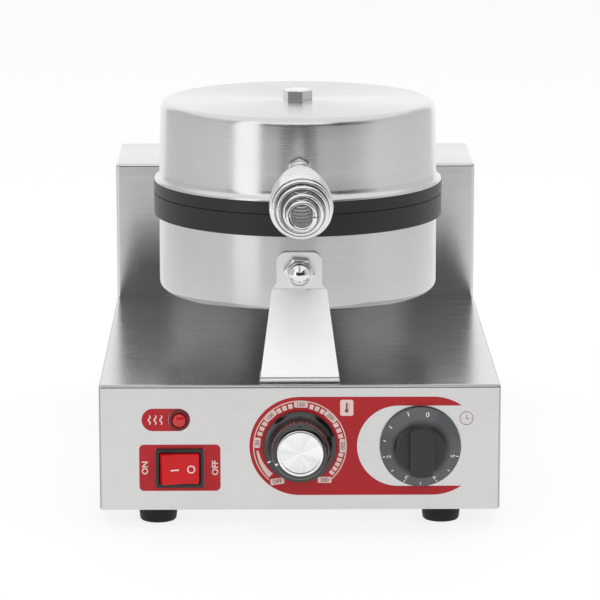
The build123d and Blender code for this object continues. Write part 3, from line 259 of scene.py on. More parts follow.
# %% A material and its Object coordinates
def start_material(name, **uniform):
    """A material whose shader has the stated uniform values, and a node that gives positions."""
    made = bpy.data.materials.new(name)
    made.use_nodes = True
    tree = made.node_tree
    shader = tree.nodes["Principled BSDF"].inputs
    for label, value in uniform.items():
        shader[label.replace("_", " ")].default_value = value
    return made, tree, shader, node(tree, "ShaderNodeTexCoord").outputs["Object"]


def effect(tree, group, place, **values):
    """One of the shared groups, placed in a material with its own values."""
    links = [("Position", place)] + [(label.replace("_", " "), value) for label, value in values.items()]
    return node(tree, "ShaderNodeGroup", links, node_tree=group).outputs


def bump(tree, shader, height, strength, depth):
    """Heights that tilt the surface a little. The depth is in millimetres."""
    made = node(tree, "ShaderNodeBump", [("Height", height), ("Strength", strength),
                                         ("Distance", depth * MM)])
    feed(tree, shader, Normal=made.outputs["Normal"])


def grey(value, warmth=0.0):
    """A grey, with a little more red and less blue where it is warm."""
    return (value * (1 + warmth), value, value * (1 - warmth), 1)


# %% Steels
# The tone of the folds is the grey of the painted dark reflection along them.
WARM, TOUCHED, FOLD_REFLECTION_TONE = 0.006, 0.93, 0.2  # warmth of steel, tone of its marks and of its folds


def brushed_steel(name, tone, smooth, rough, depth, along=12.0, across=2400.0, turned_at=None,
                  folded=False, **uniform):
    """Stainless sheet with fine brushing, straight or around an upright axis, and a painted dark reflection
    along its folds if folded.
    """
    made, tree, shader, place = start_material(name, Metallic=1.0, **uniform)
    lines_at = effect(tree, unrolled, place, Centre=turned_at)["Position"] if turned_at else place
    lines = effect(tree, brushing, lines_at, Along=along, Across=across, Smooth=smooth, Rough=rough,
                   Flat_Sheet=0.0 if turned_at else 1.0)
    color = effect(tree, handling, place, Clean=grey(tone, WARM),
                   Marked=grey(tone * TOUCHED, 2 * WARM))["Color"]
    # Along the folds the colour is painted dark grey: a painted dark reflection.
    if folded:
        near = effect(tree, folds, place, High_Corner=tuple(base_high), Front=panel_y)["Mask"]
        color = mixed(tree, near, color, grey(FOLD_REFLECTION_TONE))
    feed(tree, shader, Base_Color=color, Roughness=lines["Roughness"])
    bump(tree, shader, lines["Height"], 0.25, depth)
    return made


# Lines that run across smear the light up and down. The head's lines run around its own axis.
# Each steel has its tone, its least and most roughness, the depth of its lines in millimetres, and
# how often the lines change along and across, per metre.
upright = {"Anisotropic": 0.7, "Anisotropic_Rotation": 0.25}
around_head = {"along": 6.0, "across": 2600.0, "turned_at": (head.x, head.y, 0), **upright}
finishes = {
    "steel_sheet": brushed_steel("sheet steel", 0.69, 0.2, 0.28, 0.03, folded=True),
    "hinge_steel": brushed_steel("hinge steel", 0.62, 0.22, 0.36, 0.03),
    "fasteners": brushed_steel("bright fasteners", 0.80, 0.06, 0.16, 0.01, 200.0, 900.0),
    "handle_chrome": brushed_steel("handle chrome", 0.88, 0.03, 0.08, 0.004, 300.0, 700.0),
    "knob_cap": brushed_steel("cap steel", 0.86, 0.16, 0.26, 0.02),
    "element_sheath": brushed_steel("element sheath", 0.22, 0.4, 0.6, 0.03, 300.0, 700.0),
    "shaft_brass": brushed_steel("shaft brass", 0.6, 0.2, 0.35, 0.01, 300.0, 900.0),
}
lid_steel = brushed_steel("lid steel", 0.70, 0.22, 0.28, 0.015, **around_head)
# The cup is the lid's steel painted darker, 0.60 against 0.70: painted shade.
cup_steel_painted_shade = brushed_steel("cup steel", 0.60, 0.22, 0.28, 0.015, **around_head)
column_steel = brushed_steel("column steel", 0.66, 0.15, 0.21, 0.02, **upright)
strap_steel = brushed_steel("polished strap", 0.95, 0.3, 0.36, 0.01, 20.0, 1800.0)
print("steels:", len(finishes) + 4)


# %% Castings, plastics and rubber
def moulded(name, color, deeper, smooth, rough, depth, size=900.0, **uniform):
    """A cast or moulded surface: slightly clouded colour over a fine pebble."""
    made, tree, shader, place = start_material(name, **uniform)
    grain = effect(tree, pebble, place, Size=size, Smooth=smooth, Rough=rough)
    clouded = effect(tree, handling, place, Scale=30.0, Clean=(*color, 1), Marked=(*deeper, 1), Amount=0.8)
    feed(tree, shader, Base_Color=clouded["Color"], Roughness=grain["Roughness"])
    bump(tree, shader, grain["Height"], 0.3, depth)
    return made


# Each has its colour, the colour of its clouds, its least and most roughness, and the depth of its
# grain in millimetres.
finishes.update({
    "plate_casting": moulded("seasoned casting", (0.013, 0.014, 0.014), (0.008, 0.008, 0.009), 0.34, 0.52,
                             0.06, 1400.0, Specular_IOR_Level=0.4),
    "foot_rubber": moulded("foot rubber", (0.005, 0.005, 0.005), (0.009, 0.009, 0.009), 0.45, 0.65, 0.05,
                           Specular_IOR_Level=0.3),
    "gland_plastic": moulded("gland nylon", (0.02, 0.02, 0.021), (0.03, 0.03, 0.03), 0.35, 0.5, 0.03),
    "control_plastic": moulded("control phenolic", (0.05, 0.03, 0.02), (0.07, 0.05, 0.04), 0.4, 0.6, 0.04),
    "switch_plastic": moulded("switch bezel", (0.012, 0.011, 0.012), (0.02, 0.018, 0.018), 0.25, 0.4, 0.02),
    # The faint red emission of the rocker is a painted glow, as the rocker is no lamp.
    "rocker_red": moulded("rocker red", (0.56, 0.004, 0.008), (0.46, 0.002, 0.006), 0.12, 0.22, 0.01,
                          Specular_IOR_Level=0.25, Coat_Weight=0.12, Coat_Roughness=0.06,
                          Emission_Color=(0.6, 0.006, 0.01, 1), Emission_Strength=0.1),
    "lamp_red": moulded("lamp red", (0.55, 0.006, 0.012), (0.4, 0.003, 0.008), 0.1, 0.2, 0.01,
                        Coat_Weight=0.5, Coat_Roughness=0.04, Emission_Color=(0.6, 0.01, 0.015, 1),
                        Emission_Strength=0.08),
    "lamp_ring": moulded("lamp ring", (0.16, 0.004, 0.006), (0.1, 0.003, 0.004), 0.2, 0.3, 0.01),
    "label_red": moulded("label red", (0.45, 0.013, 0.019), (0.40, 0.01, 0.015), 0.3, 0.42, 0.01, 2000.0,
                         Specular_IOR_Level=0.3),
    "knob_gloss": moulded("knob gloss", (0.005, 0.005, 0.005), (0.008, 0.008, 0.008), 0.1, 0.18, 0.01,
                          Coat_Weight=0.7, Coat_Roughness=0.04),
    "knob_satin": moulded("knob satin", (0.018, 0.020, 0.022), (0.026, 0.028, 0.031), 0.3, 0.42, 0.03),
    "insulation": moulded("mica insulation", (0.55, 0.5, 0.42), (0.42, 0.37, 0.3), 0.7, 0.9, 0.2, 500.0),
    "sensor_copper": moulded("sensor copper", (0.62, 0.33, 0.22), (0.5, 0.26, 0.17), 0.3, 0.42, 0.02,
                             Metallic=1.0),
})
print("finishes for slots:", len(finishes))


# %% Dress the CAD nodes
def wear(piece, finish):
    """Give a piece one finish, in its material slots."""
    if not piece.data.materials:
        piece.data.materials.append(finish)
    for index in range(len(piece.data.materials)):
        piece.data.materials[index] = finish


slots, undressed = {}, []
for name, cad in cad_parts.items():
    slot = cad.data.materials[0].name.split(".")[0] if cad.data.materials else None
    if slot in finishes:
        wear(cad, finishes[slot])
        slots[name] = slot
    else:
        undressed.append((name, slot))
wear(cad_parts["column_shell"], column_steel)
print("dressed nodes:", len(slots), "undressed:", undressed)

# %% [markdown]
# ## Modelling helpers
# Every new piece starts as a primitive at its size and place. Edit mode then shapes it: rings are
# extruded and scaled for turned parts, faces are inset and extruded for the rest. A helper picks
# faces or vertices by their place, as a hand would pick them with the mouse.


# %% Select, edit and move a piece
def nothing_selected():
    """Leave edit mode and deselect all objects."""
    if bpy.context.object and bpy.context.object.mode != "OBJECT":
        end_edit()
    bpy.ops.object.select_all(action="DESELECT")


def only(piece):
    """Select one piece alone and make it active."""
    nothing_selected()
    piece.select_set(True)
    bpy.context.view_layer.objects.active = piece


def in_place(piece):
    """Move a piece's place, turn and scale into its mesh, so that its object sits at the origin."""
    only(piece)
    bpy.ops.object.transform_apply(location=True, rotation=True, scale=True)
    return piece


def edit(piece):
    """Open a piece's mesh in edit mode, with all of it selected."""
    only(piece)
    bpy.ops.object.mode_set(mode="EDIT")
    bpy.ops.mesh.select_all(action="SELECT")


def end_edit():
    """Back to object mode."""
    bpy.ops.object.mode_set(mode="OBJECT")


def pick(piece, kind, wanted):
    """In edit mode, select the faces or the vertices whose place and normal are wanted."""
    bpy.ops.mesh.select_mode(type=kind)
    bpy.ops.mesh.select_all(action="DESELECT")
    end_edit()
    if kind == "FACE":
        for face in piece.data.polygons:
            face.select = wanted(face.center, face.normal)
    else:
        for point in piece.data.vertices:
            point.select = wanted(point.co, point.normal)
    bpy.ops.object.mode_set(mode="EDIT")


# %% Clean, modify and shade a piece
DOUBLES = 0.001 * MM  # two points closer than this are one
POLE = 0.01 * MM      # the radius of a ring that stands for a point on the axis


def tidy_mesh(piece, outwards=True, doubles=DOUBLES):
    """Merge doubles and turn all faces outwards."""
    edit(piece)
    bpy.ops.mesh.remove_doubles(threshold=doubles)
    if outwards:
        bpy.ops.mesh.normals_make_consistent(inside=False)
    end_edit()


def modify(piece, kind, **settings):
    """Add one modifier and apply it."""
    only(piece)
    made = piece.modifiers.new(kind.lower(), kind)
    for key, value in settings.items():
        setattr(made, key, value)
    bpy.ops.object.modifier_apply(modifier=made.name)


def smooth(piece, degrees=30):
    """Smooth shading, apart from edges that bend by more than this."""
    only(piece)
    bpy.ops.object.shade_smooth_by_angle(angle=math.radians(degrees))


def soften(piece, width, segments=2, degrees=35):
    """A small round along every sharp edge, as a real edge has, and smooth shading."""
    modify(piece, "BEVEL", width=width, segments=segments, limit_method="ANGLE",
           angle_limit=math.radians(degrees), use_clamp_overlap=True)
    smooth(piece)
    modify(piece, "WEIGHTED_NORMAL", keep_sharp=True)


# %% Finish, join and copy pieces
def done(piece, name, body, slot, stands_for=(), finish=None):
    """Name a finished piece, hand it to its CAD body and dress it."""
    piece.name = name
    piece.data.name = name
    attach(piece, body)
    if stands_for:
        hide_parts(*stands_for)
    wear(piece, finish or finishes[slot])
    print(f"{name}: {len(piece.data.polygons)} faces on {body}")
    return piece


def joined(pieces):
    """Several meshes as one object."""
    nothing_selected()
    for piece in pieces:
        piece.select_set(True)
    bpy.context.view_layer.objects.active = pieces[0]
    if len(pieces) > 1:
        bpy.ops.object.join()
    return bpy.context.object


def copied(piece):
    """A copy with its own mesh."""
    twin = piece.copy()
    twin.data = piece.data.copy()
    bpy.context.scene.collection.objects.link(twin)
    return twin


# %% Turn a profile on an upright axis
def turned(profile, around, centre=(0, 0)):
    """A circle whose ring is extruded and scaled from one (radius, height) to the next."""
    rings = [(max(radius, POLE), height) for radius, height in profile]
    nothing_selected()
    radius, height = rings[0]
    bpy.ops.mesh.primitive_circle_add(vertices=around, radius=radius, location=(*centre, height))
    piece = in_place(bpy.context.object)
    edit(piece)
    for next_radius, next_height in rings[1:]:
        bpy.ops.mesh.extrude_edges_move(TRANSFORM_OT_translate={"value": (0, 0, next_height - height)})
        scale = next_radius / radius
        bpy.ops.transform.resize(value=(scale, scale, 1), center_override=(*centre, next_height))
        radius, height = next_radius, next_height
    tidy_mesh(piece, doubles=2 * POLE)  # closes the rings that were scaled down onto the axis
    return piece


def spun(pairs, around, degrees):
    """A turned piece from a profile in millimetres, shaded smooth."""
    piece = turned(in_mm(pairs), around)
    smooth(piece, degrees)
    return piece


def rounded(middle_radius, middle_height, radius, start, end, steps):
    """Profile points along a round edge, from one angle to another in degrees."""
    points = []
    for step in range(steps + 1):
        turn = math.radians(start + (end - start) * step / steps)
        points.append((middle_radius + radius * math.cos(turn), middle_height + radius * math.sin(turn)))
    return points


# %% [markdown]
# ## The head's two shells
# The lid and the cup below it are deep drawn from stainless sheet: a disc is pressed over a punch,
# which leaves a round corner at the flat end, and the lid's mouth is rolled out over the edge of
# its plate. A circle extruded along the outer profile gives the skin, and Solidify gives the sheet.

# %% Lid
SHEET, PUNCH_CORNER, WALL_LEAN = 1.0 * MM, 5.0 * MM, 1.4 * MM
lid_bottom, lid_top = lid_low.z, lid_high.z
wall_low = 90.0 * MM
wall_high = wall_low - WALL_LEAN
knee = wall_low - 0.16 * MM
mouth_radius = (plate_top.x - plate_low.x) / 2 - 0.3 * MM
straight_from, straight_to = lid_bottom + 6.5 * MM, lid_top - PUNCH_CORNER


def drawn_shell(profile):
    """A shell of sheet around the head's axis, from its outer profile."""
    shell = turned(profile, 192, (head.x, head.y))
    modify(shell, "SOLIDIFY", thickness=SHEET, offset=-1)
    smooth(shell, 40)
    return shell


lid_profile = [(mouth_radius - inward, lid_bottom + up)
               for inward, up in in_mm([(0, 0), (0, 0.6), (0.4, 1.3), (1.2, 2.1)])]
lid_profile += [(knee + outward, lid_bottom + up)
                for outward, up in in_mm([(1.1, 2.9), (0.5, 3.9), (0.12, 5.2), (0, 6.5)])]
lid_profile += [(knee + (wall_high - knee) * part, straight_from + (straight_to - straight_from) * part)
                for part in (0.25, 0.5, 0.75)]
lid_profile += rounded(wall_high - PUNCH_CORNER, lid_top - PUNCH_CORNER, PUNCH_CORNER, 0, 90, 10)
lid_profile += [(radius, lid_top) for radius in (0.06, 0.03, 0.012, 0.0)]
done(drawn_shell(lid_profile), "lid_cover", "lid", "steel_sheet", ("upper_shell",), lid_steel)

# %% Cup under the lower plate
cup_low, cup_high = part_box("lower_shell")
cup_profile = [(radius, cup_low.z) for radius in (0.0, 0.03, 0.06)]
cup_profile += rounded(wall_low - PUNCH_CORNER, cup_low.z + PUNCH_CORNER, PUNCH_CORNER, -90, 0, 10)
cup_profile += [(wall_low, height) for height in (cup_low.z + 0.02, cup_low.z + 0.035, cup_high.z)]
done(drawn_shell(cup_profile), "lower_cup", "base", "steel_sheet", ("lower_shell",), cup_steel_painted_shade)

# %% [markdown]
# ## The coil handle
# A cool grip: one chromed wire wound slim at its root, swelling to a round belly and closing to a
# small open ring at its tip, so that air passes through it. The same swell is worked out here turn
# by turn and given to a curve, whose round bevel is the wire. The curve then becomes a mesh.

# %% Swell and axis of the coil
WIRE, TURNS, POINTS_PER_TURN = 1.4 * MM, 24, 40
TILT = math.radians(3.8)
HANDLE_UP = 20.8 * MM
coil_start, coil_end = 6.8 * MM, 126.6 * MM
root_radius, belly_radius, tip_radius = 4.8 * MM, 17.7 * MM, 7.7 * MM
root_share, belly_share, tip_share = 1 / TURNS, 0.8, 1 - 1 / TURNS


def lid_wall(height):
    """The radius of the lid's wall, which leans inwards as it rises."""
    return wall_low - WALL_LEAN * (height - lid_bottom) / (lid_top - lid_bottom)


handle_z = lid_bottom + HANDLE_UP
wall_at_handle = head.y - lid_wall(handle_z)


def coil_radius(share):
    """The coil's radius at a share of its length: straight root, swelling belly, closing tip."""
    if share < root_share:
        return root_radius
    if share < belly_share:
        swell = (share - root_share) / (belly_share - root_share)
        return root_radius + (belly_radius - root_radius) * math.sin(math.pi / 2 * swell) ** 1.2
    close = min(1, (share - belly_share) / (tip_share - belly_share))
    return tip_radius + (belly_radius - tip_radius) * math.cos(math.pi / 2 * close)


def by_handle(distance, radius=0.0, turn=0.0):
    """A point at a distance from the lid's wall along the tilted handle, and at a turn around it."""
    up = radius * math.sin(turn)
    return Vector((radius * math.cos(turn),
                   wall_at_handle - distance * math.cos(TILT) - up * math.sin(TILT),
                   handle_z - distance * math.sin(TILT) + up * math.cos(TILT)))


# %% Coil
nothing_selected()
bpy.ops.curve.primitive_nurbs_path_add()
wire = bpy.context.object
wire.location = (0, 0, 0)
line = wire.data
line.splines.clear()
spline = line.splines.new("POLY")
last = TURNS * POINTS_PER_TURN
spline.points.add(last)
for index in range(last + 1):
    share = index / last
    place = by_handle(coil_start + (coil_end - coil_start) * share, coil_radius(share),
                      2 * math.pi * index / POINTS_PER_TURN)
    spline.points[index].co = (*place, 1)
line.dimensions = "3D"
line.bevel_depth = WIRE
line.bevel_resolution = 4
line.use_fill_caps = True
only(wire)
bpy.ops.object.convert(target="MESH")
coil = bpy.context.object
tidy_mesh(coil)
smooth(coil, 60)
print("coil:", TURNS, "turns,", len(coil.data.polygons), "faces")

# %% [markdown]
# The wire is painted bright on its outer half and darker on the half that looks inwards, most of all
# under the upper turns and towards the tip: painted shade between the turns. The material finds the
# inner half from the angle between the surface and the line to the handle's axis.

# %% Chrome of the coil
made, tree, shader, place = start_material("coil chrome", Metallic=1.0)
normal = node(tree, "ShaderNodeTexCoord").outputs["Normal"]
axis_way = tuple((by_handle(1) - by_handle(0)).normalized())
from_root = vector_maths(tree, "SUBTRACT", place, tuple(by_handle(0)))
along = vector_maths(tree, "DOT_PRODUCT", from_root, axis_way)
on_axis = node(tree, "ShaderNodeVectorMath", [(0, axis_way), ("Scale", along)],
               operation="SCALE").outputs[0]
outward = vector_maths(tree, "NORMALIZE", vector_maths(tree, "SUBTRACT", from_root, on_axis))
# Painted shade: the inward half grows darker towards the tip, and is near black and rougher under the upper
# turns.
inner = ramp(tree, vector_maths(tree, "DOT_PRODUCT", outward, normal), -0.05, -0.5)
upper_half = ramp(tree, parted(tree, outward)["Z"], 0.0, 0.5)
# The mask of the painted shade under the upper turns.
dull = maths(tree, "MULTIPLY", inner, upper_half)
marked = effect(tree, handling, place, Scale=60.0, Clean=grey(0.8), Marked=grey(0.72))["Color"]
near_tip = ramp(tree, along, 0.112, 0.098)
painted_inner_shade = mixed(tree, inner, marked, mixed(tree, near_tip, grey(0.78), grey(0.42)))
feed(tree, shader, Base_Color=mixed(tree, dull, painted_inner_shade, grey(0.035)),
     Roughness=ramp(tree, dull, 0.0, 1.0, 0.05, 0.3))
done(coil, "coil_handle", "lid", "handle_chrome", ("handle_coil",), made)

# %% [markdown]
# ## Castings and folded steel
# Bent sheet and castings never have knife edges: a punch, a tumbler or a file has eased them, and
# that thin round is what catches the light. For the solids whose shape is already right, a copy of
# the CAD mesh is merged, its flat faces are dissolved back into whole faces, and Bevel eases it.


# %% Ease the edges of CAD solids
def eased(node_name, name, body, width, finish=None, segments=2):
    """A copy of a CAD solid that stands for it, with its sharp edges eased by a width in millimetres."""
    piece = copied(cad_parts[node_name])
    piece.parent = None
    piece.matrix_world = Matrix.Identity(4)
    for key in [key for key in piece.keys() if key.startswith("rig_")]:
        del piece[key]
    edit(piece)
    bpy.ops.mesh.customdata_custom_splitnormals_clear()
    bpy.ops.mesh.remove_doubles(threshold=DOUBLES)
    bpy.ops.mesh.dissolve_limited(angle_limit=math.radians(1.0))
    end_edit()
    soften(piece, width * MM, segments)
    return done(piece, name, body, slots[node_name], (node_name,), finish)


eased("lower_plate", "lower_casting", "base", 0.35)
eased("upper_plate", "lid_casting", "lid", 0.35)
eased("hinge_bracket", "rear_bracket", "base", 0.3)
eased("hinge_arm", "lid_arm", "lid", 0.3)
eased("front_support", "front_prop", "base", 0.3, strap_steel)
eased("handle_nuts", "handle_root_nuts", "lid", 0.25)
eased("bracket_bolts", "rear_bracket_bolts", "base", 0.25)
eased("switch_body", "switch_bezel", "base", 0.4)
eased("power_rocker", "red_rocker", "rocker", 0.5, segments=3)
eased("cable_gland", "cord_gland", "base", 0.4)

# %% [markdown]
# ## Feet
# Moulded rubber feet taper a little towards the table, have a rounded toe, and hide their screw in
# a deep recess. One is turned from its profile and the others are copies of it.

# %% Four feet
foot_low, foot_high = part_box("feet")
foot_radius = 12.3 * MM
foot_profile = in_mm([(4.8, 6.0), (4.8, 0.4), (5.2, 0.0), (9.9, 0.0), (10.7, 0.2), (11.2, 0.7),
                      (11.5, 1.5), (11.8, 4.0), (12.1, 7.5), (12.3, 9.6), (12.3, 10.0), (2.2, 10.0),
                      (2.2, 6.0), (4.8, 6.0)])
places = [Vector((x, y, 0)) for x in (foot_low.x + foot_radius, foot_high.x - foot_radius)
          for y in (foot_low.y + foot_radius, foot_high.y - foot_radius)]
feet = [turned(foot_profile, 64, places[0].xy)]
for place in places[1:]:
    twin = copied(feet[0])
    twin.location = place - places[0]
    feet.append(in_place(twin))
rubber_feet = joined(feet)
smooth(rubber_feet, 35)
done(rubber_feet, "rubber_feet", "base", "foot_rubber", ("feet",))

# %% [markdown]
# ## Screws, bolts and the cap nut
# The small screws have a low round head with a cross recess. The head is a turned dome, and a
# cross of two bars cuts the recess with a Boolean. Bolts are hexagons whose top corners were
# turned off, and the cap nut has a collar and a polished ball on its hexagon.

# %% One cross-head, then its copies
HEAD_RADIUS, HEAD_HEIGHT = 3.8 * MM, 2.2 * MM


def cross_head():
    """A low dome that stands on the origin, with a cross cut into it."""
    head_piece = turned(in_mm([(0.0, 0.0), (3.7, 0.0), (3.8, 0.15), (3.8, 0.7), (3.572, 1.25), (3.04, 1.72),
                               (2.204, 2.02), (1.14, 2.17), (0.0, 2.2)]), 32)
    bars = []
    for turn in (0, math.pi / 2):
        nothing_selected()
        bpy.ops.mesh.primitive_cube_add(size=1, location=(0, 0, HEAD_HEIGHT), rotation=(0, 0, turn))
        bars.append(bpy.context.object)
        bars[-1].scale = (3.9 * MM, 0.85 * MM, 1.9 * MM)
        in_place(bars[-1])
    modify(bars[0], "BOOLEAN", object=bars[1], operation="UNION", solver="EXACT")
    modify(head_piece, "BOOLEAN", object=bars[0], operation="DIFFERENCE", solver="EXACT")
    for bar in bars:
        bpy.data.objects.remove(bar)
    smooth(head_piece)
    return head_piece


def set_heads(name, body, node_name, seats):
    """Copies of the cross-head on their seats, each a (place, outward direction)."""
    heads = []
    for place, outward in seats:
        twin = copied(head_pattern)
        twin.rotation_euler = Vector(outward).to_track_quat("Z", "Y").to_euler()
        twin.location = place
        heads.append(in_place(twin))
    done(joined(heads), name, body, "fasteners", (node_name,))


def ends(low, high):
    """The middles of the first and the last head between two ends of a node's box."""
    return low + HEAD_RADIUS, high - HEAD_RADIUS


# %% Screws of the rear cover, the front prop, the cradles and the bottom
head_pattern = cross_head()
low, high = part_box("cover_screws")
bottom_row, top_row = ends(low.z, high.z)
set_heads("rear_cover_screws", "base", "cover_screws",
          [((x, high.y - HEAD_HEIGHT, z), (0, 1, 0)) for x in ends(low.x, high.x)
           for z in (bottom_row, (bottom_row + top_row) / 2, top_row)])
low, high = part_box("support_screws")
set_heads("front_prop_screws", "base", "support_screws",
          [((x, (low.y + high.y) / 2, high.z - HEAD_HEIGHT), (0, 0, 1)) for x in ends(low.x, high.x)])
CRADLE_ANGLE = math.asin(39.0 * MM / wall_low)  # 39 mm to each side of the middle
CRADLE_STEP, CRADLE_SHEET = 7 * MM, 2.5 * MM
for name, body, node_name, middle_z, wall in (
        ("cup_cradle_screws", "base", "lower_cradle_screws", 152 * MM, lambda z: wall_low),
        ("lid_cradle_screws", "lid", "upper_cradle_screws", lid_bottom + 24.5 * MM, lid_wall)):
    seats = []
    for side in (-1, 1):
        outward = Vector((side * math.sin(CRADLE_ANGLE), math.cos(CRADLE_ANGLE), 0))
        for z in (middle_z - CRADLE_STEP, middle_z + CRADLE_STEP):
            seat = outward * (wall(z - HEAD_RADIUS) + CRADLE_SHEET)
            seats.append((head + seat + Vector((0, 0, z - head.z)), outward))
    set_heads(name, body, node_name, seats)
low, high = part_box("flange_screws")
front_row, back_row = ends(low.y, high.y)
set_heads("bottom_screws", "base", "flange_screws",
          [((x, y, low.z + HEAD_HEIGHT), (0, 0, -1)) for x in ends(low.x, high.x)
           for y in (front_row, base_high.y - 20 * MM, back_row)])
bpy.data.objects.remove(head_pattern)


# %% Hexagons
CORNER_SLOPE = 0.58  # a turned-off corner falls at 30 degrees


def hexagon(flats, height, corner_cut):
    """A hexagonal head on the origin, flats to the front and back, its top corners turned off."""
    corner_reach = flats / math.sqrt(3)
    nothing_selected()
    bpy.ops.mesh.primitive_cylinder_add(vertices=6, radius=corner_reach, depth=height,
                                        location=(0, 0, height / 2), rotation=(0, 0, math.pi / 6))
    piece = in_place(bpy.context.object)
    edit(piece)
    pick(piece, "FACE", lambda place, normal: normal.z > 0.9)
    bpy.ops.mesh.inset(thickness=corner_cut)
    pick(piece, "VERT", lambda place, normal: place.z > height * 0.9
         and math.hypot(place.x, place.y) > corner_reach - 0.01 * MM)
    bpy.ops.transform.translate(value=(0, 0, -corner_cut * CORNER_SLOPE))
    end_edit()
    soften(piece, 0.22 * MM, degrees=20)
    return piece


def head_bolt(turn, height):
    """One of the two large bolts on the head's axis, turned in radians."""
    bolt = hexagon(16.6 * MM, 6.4 * MM, 1.0 * MM)
    bolt.rotation_euler = turn
    bolt.location = (head.x, head.y, height)
    return in_place(bolt)


done(head_bolt((0, 0, -math.radians(13)), lid_top), "lid_hex_bolt", "lid", "fasteners", ("lid_bolt",))
done(head_bolt((math.pi, 0, 0), cup_low.z), "cup_hex_bolt", "base", "fasteners", ("lower_bolt",))

# %% Cap nut on the front prop
nut_low, nut_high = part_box("support_cap_nut")
nut_base = hexagon(17.0 * MM, 6.0 * MM, 1.1 * MM)
nut_base.rotation_euler = (0, 0, -math.radians(6.5))
nut_base = in_place(nut_base)
ball_middle, ball_radius = 6.6, 7.4
collar = [(0.0, 5.6), (8.3, 5.6), (8.3, 6.1), (8.1, 6.4), (7.7, 6.5), (7.1, 6.3), (7.1, ball_middle)]
ball = spun(collar + rounded(0, ball_middle, ball_radius, 0, 90, 14), 64, 40)
cap_nut = joined([nut_base, ball])
cap_nut.rotation_euler = (math.pi / 2, 0, 0)
cap_nut.location = ((nut_low.x + nut_high.x) / 2, nut_high.y, (nut_low.z + nut_high.z) / 2)
done(in_place(cap_nut), "domed_cap_nut", "base", "fasteners", ("support_cap_nut",))

# %% [markdown]
# ## Knobs
# Both knobs are moulded phenolic, turned here about the shaft and then stood on the panel. The
# thermostat knob is a glossy cone with a spun metal cap. The timer knob is satin: a numbered skirt,
# a drum and a straight grip, which is a cylinder cut along both sides.

# %% Thermostat knob
heat_place = middle("thermostat_knob").xz
timer_place = middle("timer_knob").xz


def on_panel(piece, place=(0, 0), lift=0.0):
    """A piece made with its axis up is laid over to face the user, at (x, z) on the panel."""
    piece.rotation_euler = (math.pi / 2, 0, 0)
    piece.location = (place[0], panel_y - lift, place[1])
    return in_place(piece)


knob = spun([(0.0, 1.1), (22.2, 1.1), (22.7, 1.4), (22.7, 2.4), (22.5, 2.8), (22.1, 3.0), (20.6, 3.5),
             (19.9, 3.9), (19.5, 4.6), (19.1, 6.2), (18.5, 9.6), (18.0, 13.0), (17.7, 15.4), (17.4, 16.6),
             (16.9, 17.5), (16.2, 18.2), (15.4, 18.65), (14.6, 18.8), (0.0, 18.8)], 128, 35)
done(on_panel(knob, heat_place), "heat_knob", "thermostat_dial", "knob_gloss", ("thermostat_knob",))

# %% Spun cap
cap = spun([(0.0, 18.75), (14.3, 18.75), (14.4, 18.9), (14.4, 19.3), (14.1, 19.7), (13.6, 19.9),
            (12.9, 19.95), (12.5, 19.8), (12.1, 19.75), (3.0, 19.95), (0.0, 20.0)], 128, 25)

# A lathe leaves rings around the middle, which roughen and bump the cap. The bright spokes that they
# spread from each reflection are painted into its colour: painted highlights.
made, tree, shader, place = start_material("spun cap", Metallic=1.0)
laid = node(tree, "ShaderNodeMapping", [("Vector", place), ("Rotation", (-math.pi / 2, 0, 0))]).outputs[0]
knob_axis = Matrix.Rotation(-math.pi / 2, 3, "X") @ Vector((heat_place[0], 0, heat_place[1]))
ring = effect(tree, unrolled, laid, Centre=tuple(knob_axis), Radius=1.0)["Position"]
rings = stretched_noise(tree, ring, (3.0, 5200.0, 0.0), 2.0)
# Painted highlights: brighter and less bright spokes around the cap's axis.
painted_spokes = ramp(tree, stretched_noise(tree, ring, (1.1, 0.0, 0.0), 1.0), 0.36, 0.62, 0.84, 1.0)
metal = node(tree, "ShaderNodeCombineColor", [(channel, painted_spokes) for channel in ("Red", "Green", "Blue")])
feed(tree, shader, Base_Color=metal.outputs[0],
     Roughness=ramp(tree, rings, NOISE_LOW, NOISE_HIGH, 0.2, 0.34))
bump(tree, shader, rings, 0.35, 0.02)
done(on_panel(cap, heat_place), "heat_knob_cap", "thermostat_dial", "knob_cap", ("thermostat_cap",), made)

# %% Timer knob
SKIRT_FOOT, SKIRT_TOP = (24.6, 3.6), (17.4, 8.6)  # the ends of its numbered slope
GRIP_HALF = 7.2 * MM
skirt = spun([(0.0, 1.1), (24.8, 1.1), (25.3, 1.4), (25.3, 2.9), (25.1, 3.3), SKIRT_FOOT, SKIRT_TOP,
              (16.6, 9.2), (16.1, 10.0), (15.7, 11.6), (15.4, 12.2), (14.9, 12.5), (0.0, 12.5)], 128, 30)
nothing_selected()
bpy.ops.mesh.primitive_cylinder_add(vertices=96, radius=15.4 * MM, depth=12 * MM, location=(0, 0, 16 * MM))
grip = in_place(bpy.context.object)
edit(grip)
for side in (-1, 1):
    bpy.ops.mesh.select_all(action="SELECT")
    bpy.ops.mesh.bisect(plane_co=(side * GRIP_HALF, 0, 0), plane_no=(side, 0, 0), use_fill=True,
                        clear_outer=True)
end_edit()
soften(grip, 1.3 * MM, 4, 30)
timer = joined([skirt, grip])

# The skirt is painted a lighter grey than the drum that stands on it: a painted sheen that stands for the
# highlights on its slope.
made, tree, shader, place = start_material("timer satin", Coat_Weight=0.3, Coat_Roughness=0.12)
grain = effect(tree, pebble, place, Size=900.0, Smooth=0.3, Rough=0.42)
skirt_painted_sheen = effect(tree, handling, place, Scale=30.0, Clean=(0.08, 0.083, 0.09, 1),
                Marked=(0.06, 0.063, 0.068, 1))["Color"]
